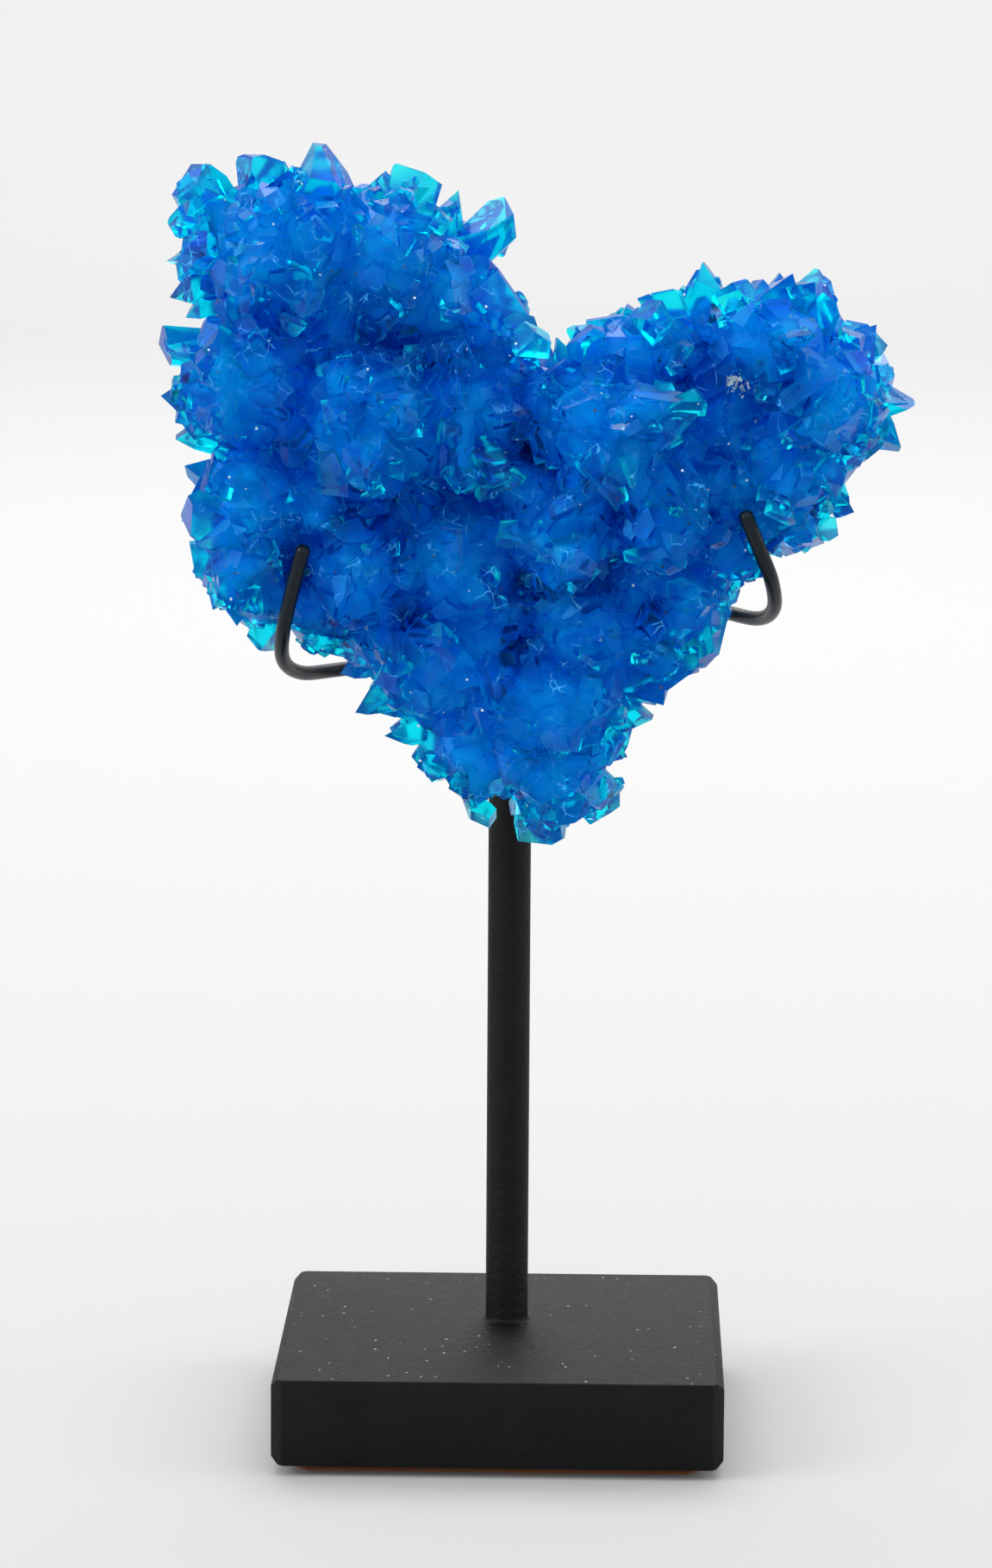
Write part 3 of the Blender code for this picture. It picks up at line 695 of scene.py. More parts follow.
def add_core(mesh, host, depth, rim_depth):
    """Adds the cloudy heart of the cluster: the host's surface, drawn in under the clear skin.

    It lies deeper at the rim, where the crystals are clear right through from front to back.
    """
    shape = opened(host)
    tree = BVHTree.FromBMesh(shape)
    places = []
    for vert, direction in zip(shape.verts, smoothed_normals(shape, SMOOTHING_ROUNDS)):
        drawn_in = rim_depth + (depth - rim_depth) * min(1.0, abs(direction.y) / 0.8)
        room = tree.ray_cast(vert.co - direction * 0.05 * MM, -direction, 4 * rim_depth)[3]
        if room is not None:
            drawn_in = min(drawn_in, 0.4 * room)
        place = vert.co - direction * drawn_in
        # In a hollow the skin's other side may be nearer, so the corner is pushed under it too.
        for _ in range(4):
            at, outward = tree.find_nearest(place)[:2]
            under = (at - place).dot(outward)
            if under > 0.7 * depth:
                break
            place = place - outward * (depth - under)
        places.append(place)
    for vert, place in zip(shape.verts, places):
        vert.co = place
    for face in shape.faces:
        face.material_index = 1
        face.smooth = True
    core = mesh_from("core", shape)
    # Marks how open each corner of the core lies, for the painted shade in its shut-in places.
    mark_openness_for_painted_shade(core)
    shape = opened(mesh, core)
    shape.to_mesh(mesh)
    shape.free()


def mark_facets(mesh):
    """Gives each flat face of a crystal its own number from 0 to 1, for its polish."""
    normals = np.zeros(len(mesh.polygons) * 3, np.float32)
    mesh.polygons.foreach_get("normal", normals)
    centres = np.zeros(len(mesh.polygons) * 3, np.float32)
    mesh.polygons.foreach_get("center", centres)
    normals = normals.reshape(-1, 3)
    offsets = (normals * centres.reshape(-1, 3)).sum(1) / (0.2 * MM)
    mixed = normals @ np.array([127.1, 311.7, 74.7]) * 3 + np.round(offsets) * 0.618
    values = (np.abs(np.sin(np.round(mixed, 1) * 43.76)) % 1.0).astype(np.float32)
    mesh.attributes.new("facet", "FLOAT", "FACE").data.foreach_set("value", values)


def mark_edges(mesh):
    """Stores each triangle's distances from its sharp outward edges, in mm, for worn edges and
    their painted highlight.

    The three values are the distances from the edges opposite the triangle's corners, so each is
    the triangle's height at that corner and nothing at the two others.
    """
    far = 9.0
    shape = opened(mesh)
    values = []
    for face in shape.faces:
        area = face.calc_area()
        heights = []
        for loop in face.loops:
            edge = loop.link_loop_next.edge
            worn = edge.calc_face_angle_signed(0) > math.radians(25)
            heights.append(2 * area / max(edge.calc_length(), 0.001 * MM) / MM if worn else None)
        for corner in range(3):
            for other in range(3):
                height = heights[other]
                values.append(far if height is None else height * (corner == other))
    shape.free()
    mesh.attributes.new("edge", "FLOAT_VECTOR", "CORNER").data.foreach_set("vector", values)


def new_material(name):
    material = bpy.data.materials.new(name)
    material.use_nodes = True
    tree = material.node_tree
    return material, tree, tree.nodes["Principled BSDF"], tree.nodes["Material Output"]


def worn_and_highlit_edges(tree, place):
    """How near a sharp edge is, from 0 to 1, broken up so that only parts of an edge are worn and
    carry a painted highlight.
    """
    edge = add(tree, "ShaderNodeAttribute", {"attribute_name": "edge"}).outputs["Vector"]
    parts = add(tree, "ShaderNodeSeparateXYZ", {0: edge})
    nearer = add(tree, "ShaderNodeMath", {"operation": "MINIMUM", 0: parts, 1: parts.outputs[1]})
    nearest = add(tree, "ShaderNodeMath", {"operation": "MINIMUM", 0: nearer, 1: parts.outputs[2]})
    line = add(tree, "ShaderNodeMapRange", {
        "From Min": 0.05, "From Max": 0.18, "To Min": 1.0, "To Max": 0.0, "Value": nearest,
    })
    # Wear and its painted highlight come and go along an edge about every 2 mm.
    patches = add(tree, "ShaderNodeTexNoise", {"Scale": 500.0, "Detail": 2.0, "Vector": place})
    broken = add(tree, "ShaderNodeMapRange", {
        "From Min": 0.45, "From Max": 0.62, "Value": patches.outputs["Fac"],
    })
    return add(tree, "ShaderNodeMath", {"operation": "MULTIPLY", 0: line, 1: broken}).outputs[0]


def specks(tree, place, spacing, radius):
    """Small round specks scattered over the surface, as 0 or 1, and a random number for each."""
    cells = add(
        tree, "ShaderNodeTexVoronoi", {"Scale": 1 / spacing, "Randomness": 1.0, "Vector": place}
    )
    inside = add(tree, "ShaderNodeMath", {
        "operation": "LESS_THAN", 1: radius / spacing, 0: cells.outputs["Distance"],
    })
    chance = add(tree, "ShaderNodeSeparateColor", {0: cells.outputs["Color"]})
    return inside.outputs[0], chance.outputs[0]


def powder_patch(tree, place):
    """A dusting of white powder, dried crystal, in the hollow of the right lobe."""
    away = add(tree, "ShaderNodeVectorMath", {
        "operation": "DISTANCE", 1: tuple(value * MM for value in POWDER_AT), 0: place,
    })
    near = add(tree, "ShaderNodeMapRange", {
        "From Min": 0.5 * MM, "From Max": POWDER_REACH * MM, "To Min": 0.6, "To Max": 0.3,
        "Value": away.outputs["Value"],
    })
    crumbs = add(tree, "ShaderNodeTexNoise", {"Scale": 2000.0, "Detail": 3.0, "Vector": place})
    covered = add(
        tree, "ShaderNodeMath", {"operation": "LESS_THAN", 0: crumbs.outputs["Fac"], 1: near}
    )
    close = add(tree, "ShaderNodeMath", {
        "operation": "LESS_THAN", 1: POWDER_REACH * MM, 0: away.outputs["Value"],
    })
    return add(tree, "ShaderNodeMath", {"operation": "MULTIPLY", 0: covered, 1: close}).outputs[0]


def clear_skin(settings):
    """Chalcanthite, copper sulphate with water: glassy blue crystals, clear at the tips.

    The crystal lets a third of the red through 1.4 mm, a third of the green through 18 mm and
    nearly all of the blue.
    """
    material, tree, clear, output = new_material("chalcanthite")
    facet = add(tree, "ShaderNodeAttribute", {"attribute_name": "facet"}).outputs["Fac"]
    thickness = add(tree, "ShaderNodeAttribute", {"attribute_name": "thickness"}).outputs["Fac"]
    place = add(tree, "ShaderNodeTexCoord").outputs["Object"]
    worn = worn_and_highlit_edges(tree, place)
    # Some faces are polished and some are etched by damp air.
    polish = add(tree, "ShaderNodeMapRange", {"To Min": 0.05, "To Max": 0.35, "Value": facet})
    # Faint steps and pits of growth, under a millimetre across.
    steps = add(tree, "ShaderNodeTexNoise", {
        "Scale": 1100.0, "Detail": 3.0, "Distortion": 0.8, "Vector": place,
    })
    uneven = add(tree, "ShaderNodeBump", {
        "Strength": 0.5, "Distance": 0.05 * MM, "Height": steps.outputs["Fac"],
    })
    fill(tree, clear, {
        "Base Color": (0.04, 0.98, 1.0, 1.0), "Transmission Weight": 1.0, "IOR": CRYSTAL_IOR,
        "Specular Tint": MIRRORED_BLUE, "Specular IOR Level": 0.0, "Roughness": polish,
        "Normal": uneven,
    })
    # Veils of flaws just under the surface.
    veils = add(tree, "ShaderNodeTexNoise", {
        "Scale": 260.0, "Detail": 6.0, "Distortion": 1.5, "Vector": place,
    })
    # Cracks, which meet in a net with gaps in it, each about a tenth of a millimetre wide.
    warp = add(tree, "ShaderNodeTexNoise", {"Scale": 260.0, "Detail": 3.0, "Vector": place})
    warped = add(tree, "ShaderNodeVectorMath", {
        "operation": "MULTIPLY_ADD", 1: (3.0 * MM, 3.0 * MM, 3.0 * MM),
        0: warp.outputs["Color"], 2: place,
    })
    net = add(tree, "ShaderNodeTexVoronoi", {
        "feature": "DISTANCE_TO_EDGE", "Scale": 430.0, "Vector": warped,
    })
    line = add(tree, "ShaderNodeMapRange", {
        "From Min": 0.01, "From Max": 0.035, "To Min": 0.6, "To Max": 0.0,
        "Value": net.outputs["Distance"],
    })
    broken = add(tree, "ShaderNodeTexNoise", {"Scale": 330.0, "Detail": 3.0, "Vector": place})
    parts = add(tree, "ShaderNodeMapRange", {
        "From Min": 0.53, "From Max": 0.64, "Value": broken.outputs["Fac"],
    })
    cracks = add(tree, "ShaderNodeMath", {"operation": "MULTIPLY", 0: line, 1: parts})
    # Worn edges are pale cyan, partly wear and partly a painted highlight, and here and there dull
    # green, where the crystal has begun to dry.
    drying = add(tree, "ShaderNodeTexNoise", {"Scale": 90.0, "Detail": 3.0, "Vector": place})
    wear_and_highlight_colour = add(tree, "ShaderNodeValToRGB", {
        0: drying.outputs["Fac"],
        "stops": ((0.60, (*settings.edges, 1)), (0.66, rgba("#58C0A4"))),
    })
    green = add(tree, "ShaderNodeTexNoise", {
        "Scale": 100.0, "Detail": 6.0, "Distortion": 1.0, "Vector": place,
    })
    veil_colour = add(tree, "ShaderNodeValToRGB", {
        0: green.outputs["Fac"],
        "stops": ((0.62, (*settings.veils, 1)), (0.72, rgba("#4CB8A8"))),
    })
    # Along the worn edges the colour turns to that of the wear and its painted highlight.
    tone = add(
        tree, "ShaderNodeMix", {"data_type": "RGBA", 0: worn, 6: veil_colour, 7: wear_and_highlight_colour}
    )
    tone = add(tree, "ShaderNodeMix", {
        "data_type": "RGBA", 7: rgba("#6CCCFC"), 0: cracks, 6: tone.outputs[2],
    })
    # White and brown specks of dust and matrix, up to a third of a millimetre across.
    speck, chance = specks(tree, place, 2.6 * MM, 0.16 * MM)
    white, brown = rgba("#D8E4EC"), rgba("#5A4630")
    dust = add(tree, "ShaderNodeValToRGB", {
        0: chance, "stops": ((0.0, white), (0.62, white), (0.66, brown)),
    })
    powder = powder_patch(tree, place)
    speckled = add(
        tree, "ShaderNodeMix", {"data_type": "RGBA", 0: speck, 6: tone.outputs[2], 7: dust}
    )
    powdered = add(tree, "ShaderNodeMix", {
        "data_type": "RGBA", 7: rgba("#FFFFFF"), 0: powder, 6: speckled.outputs[2],
    })
    dusted = add(tree, "ShaderNodeMath", {"operation": "MAXIMUM", 0: speck, 1: powder})
    milky = add(tree, "ShaderNodeBsdfPrincipled", {
        "Roughness": 0.4, "IOR": CRYSTAL_IOR, "Specular Tint": MIRRORED_BLUE,
        "Specular IOR Level": 0.2, "Normal": uneven, "Base Color": powdered.outputs[2],
    })
    veiled = add(tree, "ShaderNodeMapRange", {
        "From Min": 0.42, "From Max": 0.72, "To Min": 0.0, "To Max": 0.16,
        "Value": veils.outputs["Fac"],
    })
    # The thin, clear tips have no veils.
    thick = add(tree, "ShaderNodeMapRange", {"From Min": 0.6, "From Max": 1.1, "Value": thickness})
    veiled = add(tree, "ShaderNodeMath", {"operation": "MULTIPLY", 0: veiled, 1: thick})
    # The milky share also takes a little of the worn edges, whose pale colour is partly a painted
    # highlight.
    share = add(tree, "ShaderNodeMath", {
        "operation": "MULTIPLY_ADD", 1: 0.08, "use_clamp": True, 0: worn, 2: veiled,
    })
    share = add(tree, "ShaderNodeMath", {"operation": "MAXIMUM", 0: share, 1: cracks})
    share = add(tree, "ShaderNodeMath", {"operation": "MAXIMUM", 0: share, 1: dusted})
    mixed = add(tree, "ShaderNodeMixShader", {0: share, 1: clear, 2: milky})
    absorption = add(
        tree, "ShaderNodeVolumeAbsorption", {"Color": (0.0, 0.92, 0.994, 1), "Density": 700.0}
    )
    fill(tree, output, {"Surface": mixed, "Volume": absorption})
    return material


def cloudy_core_with_painted_shade():
    """The cloudy inside of the cluster: grain boundaries and flaws that send the light back, with
    painted shade where it is shut in.
    """
    material, tree, shader, _ = new_material("cloudy chalcanthite")
    place = add(tree, "ShaderNodeTexCoord").outputs["Object"]
    clouds = add(tree, "ShaderNodeTexNoise", {"Scale": 330.0, "Detail": 8.0, "Vector": place})
    lumps = add(tree, "ShaderNodeAttribute", {"attribute_name": "lumps"}).outputs["Fac"]
    # Darker where the core is shut in among the cluster's bulges, which is painted shade, and
    # varied by the clouds.
    clouds_and_painted_shade = add(tree, "ShaderNodeMath", {
        "operation": "MULTIPLY_ADD", 1: 1.2, 0: lumps, 2: clouds.outputs["Fac"],
    })
    level = add(tree, "ShaderNodeMapRange", {"From Min": 0.9, "From Max": 1.8, "Value": clouds_and_painted_shade})
    dark_cloud_and_shade_blue, middling, pale_cloud_and_open_blue = (0.0, 0.08, 0.65, 1), (0.0, 0.2, 1.0, 1), (0.0, 0.42, 1.0, 1)
    colour = add(tree, "ShaderNodeValToRGB", {
        0: level, "stops": ((0.0, dark_cloud_and_shade_blue), (0.5, middling), (1.0, pale_cloud_and_open_blue)),
    })
    fill(tree, shader, {"Base Color": colour, "Roughness": 1.0, "Specular IOR Level": 0.0})
    return material


def enamel(settings):
    """Black enamel on the wire: smooth and satin, so that it catches a soft line of light."""
    material, tree, shader, _ = new_material("black satin enamel")
    place = add(tree, "ShaderNodeTexCoord").outputs["Object"]
    # Faint drags of the brush or dip, about 2 mm apart.
    drags = add(tree, "ShaderNodeTexNoise", {"Scale": 500.0, "Detail": 3.0, "Vector": place})
    rough = add(
        tree, "ShaderNodeMapRange", {"To Min": 0.22, "To Max": 0.38, "Value": drags.outputs["Fac"]}
    )
    fill(tree, shader, {
        "Base Color": (*settings.enamel, 1), "Roughness": rough, "Specular IOR Level": 0.3,
        "Specular Tint": (0.7, 0.85, 1.0, 1.0),
    })
    return material


def powder_coat(settings):
    """Black powder coat on steel: satin, with a fine orange-peel grain and some dust on top."""
    material, tree, shader, _ = new_material("black powder coat")
    place = add(tree, "ShaderNodeTexCoord").outputs["Object"]
    # The peel's grains are about 0.7 mm across.
    grain = add(tree, "ShaderNodeTexNoise", {"Scale": 1500.0, "Detail": 3.0, "Vector": place})
    bump = add(tree, "ShaderNodeBump", {
        "Strength": 0.9, "Distance": 0.13 * MM, "Height": grain.outputs["Fac"],
    })
    patches = add(tree, "ShaderNodeTexNoise", {"Scale": 180.0, "Detail": 5.0, "Vector": place})
    paler = tuple(1.4 * channel for channel in settings.paint)
    darker = tuple(0.7 * channel for channel in settings.paint)
    tone = add(tree, "ShaderNodeValToRGB", {
        0: patches.outputs["Fac"], "stops": ((0.3, (*darker, 1)), (0.7, (*paler, 1))),
    })
    # Motes of dust lie on what faces up.
    mote, chance = specks(tree, place, 2.0 * MM, 0.16 * MM)
    normal = add(tree, "ShaderNodeNewGeometry").outputs["Normal"]
    upward = add(tree, "ShaderNodeSeparateXYZ", {0: normal}).outputs["Z"]
    lying = add(tree, "ShaderNodeMapRange", {
        "From Min": 0.3, "From Max": 0.8, "To Max": 0.9, "Value": upward,
    })
    seen = add(tree, "ShaderNodeMath", {"operation": "MULTIPLY", 0: mote, 1: lying})
    share = add(tree, "ShaderNodeMath", {"operation": "MULTIPLY", 0: seen, 1: chance})
    dusted = add(
        tree, "ShaderNodeMix", {"data_type": "RGBA", 7: rgba("#C8C8C8"), 0: share, 6: tone}
    )
    rough = add(
        tree, "ShaderNodeMapRange", {"To Min": 0.40, "To Max": 0.62, "Value": grain.outputs["Fac"]}
    )
    fill(tree, shader, {
        "Base Color": dusted.outputs[2], "Roughness": rough, "Specular IOR Level": 0.13,
        "Normal": bump,
    })
    return material


def felt(settings):
    """Black wool felt: matt, with matted fibres that catch light, and worn brown at the bottom."""
    material, tree, shader, _ = new_material("black felt")
    place = add(tree, "ShaderNodeTexCoord").outputs["Object"]
    # The fibres are about 0.2 mm apart.
    fibres = add(tree, "ShaderNodeTexNoise", {
        "Scale": 5000.0, "Detail": 4.0, "Distortion": 1.5, "Vector": place,
    })
    paler = tuple(1.8 * channel for channel in settings.felt)
    tone = add(tree, "ShaderNodeValToRGB", {
        0: fibres.outputs["Fac"], "stops": ((0.35, rgba("#050506")), (0.75, (*paler, 1))),
    })
    height = add(tree, "ShaderNodeSeparateXYZ", {0: place}).outputs["Z"]
    low = add(tree, "ShaderNodeMapRange", {
        "From Min": 0.15 * MM, "From Max": 0.7 * MM, "To Min": 0.9, "To Max": 0.0,
        "Value": height,
    })
    worn = add(tree, "ShaderNodeMix", {"data_type": "RGBA", 7: rgba("#8A4E26"), 0: low, 6: tone})
    bump = add(tree, "ShaderNodeBump", {
        "Strength": 0.8, "Distance": 0.08 * MM, "Height": fibres.outputs["Fac"],
    })
    fill(tree, shader, {
        "Base Color": worn.outputs[2], "Roughness": 0.95, "Sheen Weight": 0.3, "Normal": bump,
    })
    return material


def smooth_route(points, stations):
    """Evenly spaced points on a smooth curve through the given ones (Catmull-Rom)."""
    ends = [2 * points[0] - points[1], *points, 2 * points[-1] - points[-2]]
    dense = []
    for before, a, b, after in zip(ends, ends[1:], ends[2:], ends[3:]):
        for step in range(24):
            t = step / 24
            dense.append(
                0.5
                * (
                    2 * a
                    + (b - before) * t
                    + (2 * before - 5 * a + 4 * b - after) * t**2
                    + (3 * a - before - 3 * b + after) * t**3
                )
            )
    dense.append(points[-1])
    travelled = [0.0]
    for a, b in zip(dense, dense[1:]):
        travelled.append(travelled[-1] + (b - a).length)
    route = []
    at = 0
    for station in range(stations):
        wanted = travelled[-1] * station / (stations - 1)
        while at < len(dense) - 2 and travelled[at + 1] < wanted:
            at += 1
        span = travelled[at + 1] - travelled[at]
        route.append(dense[at].lerp(dense[at + 1], (wanted - travelled[at]) / span))
    return route


def swept_tube(name, rings, sides):
    """A closed smooth tube through (centre, radius) rings."""
    shape = bmesh.new()
    across = (rings[1][0] - rings[0][0]).orthogonal().normalized()
    loops = []
    for index, (centre, size) in enumerate(rings):
        along = (
            rings[min(index + 1, len(rings) - 1)][0] - rings[max(index - 1, 0)][0]
        ).normalized()
        across = (across - along * across.dot(along)).normalized()
        other = along.cross(across)
        loop = []
        for side in range(sides):
            turn = math.tau * side / sides
            loop.append(
                shape.verts.new(centre + size * (across * math.cos(turn) + other * math.sin(turn)))
            )
        loops.append(loop)
    for one, two in zip(loops, loops[1:]):
        for side in range(sides):
            following = (side + 1) % sides
            shape.faces.new((one[side], one[following], two[following], two[side]))
    shape.faces.new(loops[0])
    shape.faces.new(loops[-1])
    bmesh.ops.recalc_face_normals(shape, faces=shape.faces)
    mesh = mesh_from(name, shape)
    mesh.shade_smooth()
    mesh.set_sharp_from_angle(angle=math.radians(50))
    return mesh


def turned_piece(name, profile, sides, centre):
    """A closed lathed piece about an upright axis, from (radius, height) points going up."""
    shape = bmesh.new()
    verts = [shape.verts.new((radius, 0, height)) for radius, height in profile]
    edges = [shape.edges.new(pair) for pair in zip(verts, verts[1:])]
    bmesh.ops.spin(
        shape, geom=verts + edges, axis=(0, 0, 1), cent=(0, 0, 0), angle=math.tau, steps=sides
    )
    bmesh.ops.remove_doubles(shape, verts=shape.verts, dist=1e-7)
    bmesh.ops.recalc_face_normals(shape, faces=shape.faces)
    shape.transform(Matrix.Translation(centre))
    mesh = mesh_from(name, shape)
    mesh.shade_smooth()
    mesh.set_sharp_from_angle(angle=math.radians(40))
    return mesh


def bevelled_box(name, low, high, corner, side, edge):
    """A block with chamfered upright corners and side edges, and every edge eased."""
    shape = bmesh.new()
    bmesh.ops.create_cube(shape, size=1.0)
    size = high - low
    shape.transform(Matrix.Translation((low + high) / 2) @ Matrix.Diagonal((*size, 1)))
    upright = [e for e in shape.edges if abs(e.verts[0].co.z - e.verts[1].co.z) > 0.9 * size.z]
    bmesh.ops.bevel(shape, geom=upright, offset=corner, segments=1, affect="EDGES")
    if side:
        runs = [e for e in shape.edges if abs(e.verts[0].co.y - e.verts[1].co.y) > 0.5 * size.y]
        bmesh.ops.bevel(shape, geom=runs, offset=side, segments=1, affect="EDGES")
    sharp = [e for e in shape.edges if e.calc_face_angle(0) > math.radians(20)]
    bmesh.ops.bevel(
        shape, geom=sharp, offset=edge, segments=3, profile=0.5, affect="EDGES", clamp_overlap=True
    )
    bmesh.ops.recalc_face_normals(shape, faces=shape.faces)
    mesh = mesh_from(name, shape)
    mesh.shade_smooth()
    mesh.set_sharp_from_angle(angle=math.radians(30))
    return mesh


class MINERAL_OT_cluster(bpy.types.Operator):
    """Grow the chalcanthite cluster on its solid's surface"""

    bl_idname = "mineral.cluster"
    bl_label = "Chalcanthite cluster"

    def execute(self, context):
        settings = context.scene.mineral_crystals
        rng = random.Random(settings.seed)
        host = link("chalcanthite_body", merged_copy("chalcanthite_cluster"))
        draw_in_rim(host.data, RIM_DRAWN_IN)
        habits = habit_collection(rng, ROOT_SHARE)
        marked = marked_collection(rng)
        stand = stand_guide()
        values = {
            "Habits": habits,
            "Marked": marked,
            "Stand": stand,
            "Hollow": HOLLOW_FROM,
            "Wander": settings.wander,
            "Clearance": CLEARANCE,
            "Seed": settings.seed,
            "Material": clear_skin(settings),
        }
        for layer in LAYERS:
            for size in LAYER_SIZES:
                values[f"{layer} {size}"] = getattr(settings, f"{layer.lower()}_{size}")
        mesh = grown_mesh(host, crystal_tree(), values)
        keep_outer_skin(mesh)
        mesh.shade_flat()
        mark_thickness(mesh)
        mark_facets(mesh)
        mark_edges(mesh)
        add_core(mesh, host.data, CORE_DEPTH, CORE_RIM_DEPTH)
        mesh.materials.append(cloudy_core_with_painted_shade())
        for guide in [host, stand, *habits.objects, *marked.objects]:
            bpy.data.objects.remove(guide)
        bpy.data.collections.remove(habits)
        bpy.data.collections.remove(marked)
        cluster = link("crystal_cluster", mesh)
        settle(cluster, "chalcanthite", "chalcanthite_cluster")
        return {"FINISHED"}


def stand_guide():
    """The hooks and the post in one mesh, which the crystals keep clear of."""
    nodes = ("prong_left", "prong_right", "post")
    shape = opened(*(frame["nodes"][node].data for node in nodes))
    return link("stand_guide", mesh_from("stand_guide", shape))


class MINERAL_OT_stand(bpy.types.Operator):
    """Build the block, the felt foot, the post and the two wire hooks"""

    bl_idname = "mineral.stand"
    bl_label = "Display stand"

    def execute(self, context):
        settings = context.scene.mineral_stand
        paint = powder_coat(settings)
        low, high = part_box("base_block")
        block = bevelled_box("block", low, high, corner=1.3 * MM, side=0.8 * MM, edge=0.18 * MM)
        block.materials.append(paint)
        settle(link("stand_block", block), "painted_steel", "base_block")
        low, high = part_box("felt_pad")
        pad = bevelled_box("pad", low, high, corner=1.3 * MM, side=0, edge=0.2 * MM)
        pad.materials.append(felt(settings))
        settle(link("felt_foot", pad), "felt", "felt_pad")
        self.post(settings, paint)
        gloss = enamel(settings)
        for name, points in HOOKS.items():
            route = smooth_route([Vector(point) * MM for point in points], stations=120)
            tip = (route[0] - route[1]).normalized()
            radius = settings.wire_radius
            rings = []
            for step in range(7):
                angle = math.pi / 2 * (1 - step / 6.5)
                centre = route[0] + tip * radius * math.sin(angle) * 0.8
                rings.append((centre, radius * math.cos(angle)))
            rings += [(point, radius) for point in route]
            wire = swept_tube(name, rings, sides=24)
            wire.materials.append(gloss)
            settle(link("hook_" + name.split("_")[1], wire), "painted_steel", name)
        return {"FINISHED"}

    def post(self, settings, paint):
        """The round post, with a small fillet at its foot and an eased top."""
        low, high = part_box("post")
        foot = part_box("base_block")[1].z
        radius = settings.post_radius
        profile = [(0, low.z), (radius, low.z), (radius, foot - 0.01 * MM)]
        for step in range(6):
            angle = math.pi / 2 * step / 5
            out = 0.55 * MM * (1 - math.sin(angle))
            profile.append((radius + out, foot + 0.5 * MM * (1 - math.cos(angle))))
        profile += [(radius, high.z - 0.4 * MM), (radius - 0.4 * MM, high.z), (0, high.z)]
        centre = ((low.x + high.x) / 2, (low.y + high.y) / 2, 0)
        mesh = turned_piece("post", profile, sides=64, centre=centre)
        mesh.materials.append(paint)
        settle(link("stand_post", mesh), "painted_steel", "post")


# The photograph's camera: where it stands, and its turns in degrees.
CAMERA_AT = Vector((11.916, -655.79, 180.787)) * MM
CAMERA_YAW = -1.1328
CAMERA_PITCH = 9.1837
CAMERA_ROLL = -0.3543
FOCAL_LENGTHS_PER_FRAME = 6748.8 / 1819

# The soft lamps: where each stands, its width, its power in W and what it faces.
MIDDLE = (0.0, 0.0, 0.09)
LAMPS = (
    ("overhead", (0.0, 0.5, 0.9), 0.9, 4.2, MIDDLE),
    ("left", (-0.75, -0.35, 0.45), 0.5, 3.6, MIDDLE),
    ("right", (0.8, 0.0, 0.4), 0.5, 1.8, MIDDLE),
    ("backdrop", (0.0, 1.3, 1.2), 1.5, 15.5, (0.0, 1.8, 0.1)),
)


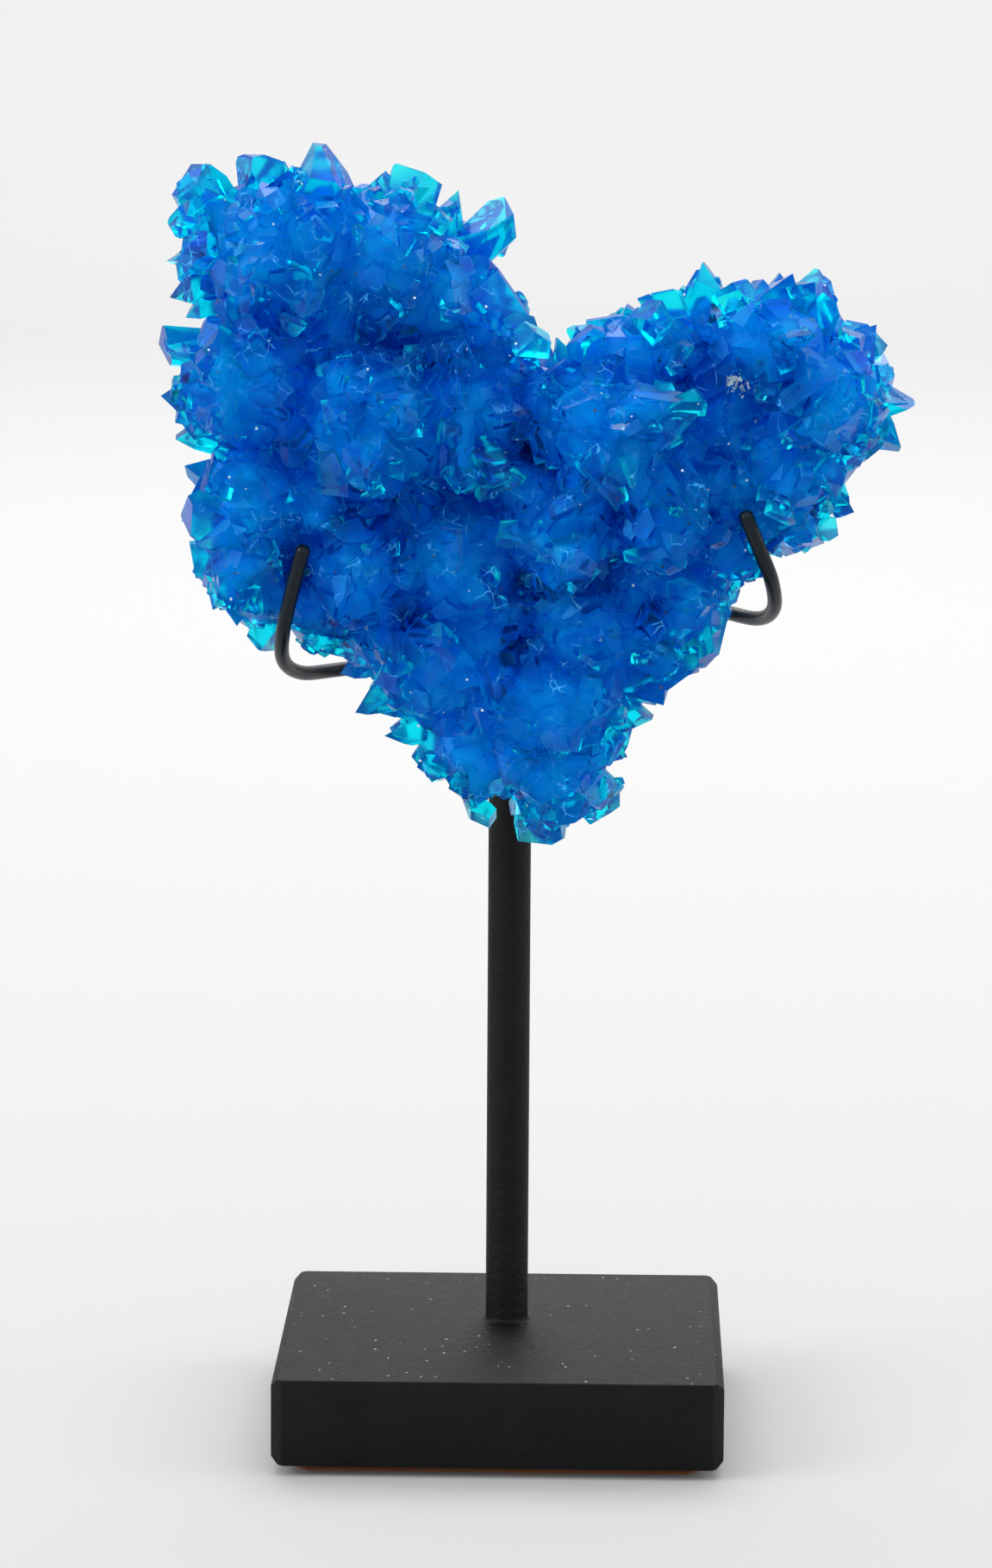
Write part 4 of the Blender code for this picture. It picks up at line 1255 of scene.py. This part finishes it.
class MINERAL_OT_stage(bpy.types.Operator):
    """Make the pale sweep, the soft lights and the camera"""

    bl_idname = "mineral.stage"
    bl_label = "Stage"

    def execute(self, context):
        settings = context.scene.mineral_stage
        scene = context.scene
        self.sweep(settings)
        world = bpy.data.worlds.new("soft light from all round")
        world.use_nodes = True
        background = world.node_tree.nodes["Background"]
        light = {"Color": (1, 1, 1, 1), "Strength": settings.ambient}
        fill(world.node_tree, background, light)
        scene.world = world
        for lamp in LAMPS:
            self.light(*lamp)
        self.camera(scene)
        scene.view_settings.view_transform = "Standard"
        return {"FINISHED"}

    def sweep(self, settings):
        """A floor that curves up into a backdrop, smooth and pale."""
        shape = bmesh.new()
        profile = [(-9.0, 0.0)]
        rise, wall = 0.5, 1.5
        for step in range(25):
            angle = math.pi / 2 * step / 24
            profile.append((wall + rise * math.sin(angle), rise * (1 - math.cos(angle))))
        profile.append((wall + rise, 2.6))
        rows = []
        for x in (-9.0, 9.0):
            rows.append([shape.verts.new((x, y, z)) for y, z in profile])
        for a, b, c, d in zip(rows[0], rows[1], rows[1][1:], rows[0][1:]):
            shape.faces.new((a, b, c, d))
        mesh = mesh_from("sweep", shape)
        mesh.shade_smooth()
        material, tree, shader, _ = new_material("matt white paper")
        fill(tree, shader, {"Base Color": (*settings.sweep, 1), "Roughness": 0.9})
        mesh.materials.append(material)
        link("sweep", mesh)

    def light(self, name, place, size, power, target):
        """A square lamp that faces the target."""
        lamp = bpy.data.lights.new(name, "AREA")
        lamp.energy = power
        lamp.size = size
        made = bpy.data.objects.new(name, lamp)
        made.location = place
        aim = Vector(target) - Vector(place)
        made.rotation_euler = aim.to_track_quat("-Z", "Y").to_euler()
        made.visible_camera = False
        bpy.context.scene.collection.objects.link(made)

    def camera(self, scene):
        yaw, pitch, roll = (math.radians(a) for a in (CAMERA_YAW, CAMERA_PITCH, CAMERA_ROLL))
        forward = Vector(
            (math.sin(yaw) * math.cos(pitch), math.cos(yaw) * math.cos(pitch), -math.sin(pitch))
        )
        right = Vector((math.cos(yaw), -math.sin(yaw), 0))
        down = forward.cross(right)
        turned = math.cos(roll) * right + math.sin(roll) * down
        upright = math.sin(roll) * right - math.cos(roll) * down
        lens = bpy.data.cameras.new("camera")
        lens.sensor_width = 36.0
        lens.lens = lens.sensor_width * FOCAL_LENGTHS_PER_FRAME
        camera = bpy.data.objects.new("camera", lens)
        rows = Matrix((turned, upright, -forward)).transposed()
        camera.matrix_world = Matrix.Translation(CAMERA_AT) @ rows.to_4x4()
        scene.collection.objects.link(camera)
        scene.camera = camera


class MINERAL_PT_panel(bpy.types.Panel):
    """The parts of the piece, in the order they are made"""

    bl_idname = "MINERAL_PT_panel"
    bl_label = "Mineral on a stand"
    bl_space_type = "VIEW_3D"
    bl_region_type = "UI"
    bl_category = "Mineral"

    def draw(self, context):
        for operator in OPERATORS:
            self.layout.operator(operator.bl_idname)


SETTINGS = {
    "mineral_crystals": CrystalSettings,
    "mineral_stand": StandSettings,
    "mineral_stage": StageSettings,
}
OPERATORS = (MINERAL_OT_cluster, MINERAL_OT_stand, MINERAL_OT_stage)


def register():
    for name, group in SETTINGS.items():
        bpy.utils.register_class(group)
        setattr(bpy.types.Scene, name, PointerProperty(type=group))
    for operator in OPERATORS:
        bpy.utils.register_class(operator)
    bpy.utils.register_class(MINERAL_PT_panel)


def unregister():
    bpy.utils.unregister_class(MINERAL_PT_panel)
    for operator in OPERATORS:
        bpy.utils.unregister_class(operator)
    for name, group in SETTINGS.items():
        delattr(bpy.types.Scene, name)
        bpy.utils.unregister_class(group)


def main():
    register()
    bpy.ops.mineral.cluster()
    bpy.ops.mineral.stand()
    bpy.ops.mineral.stage()


if __name__ == "__main__":
    main()
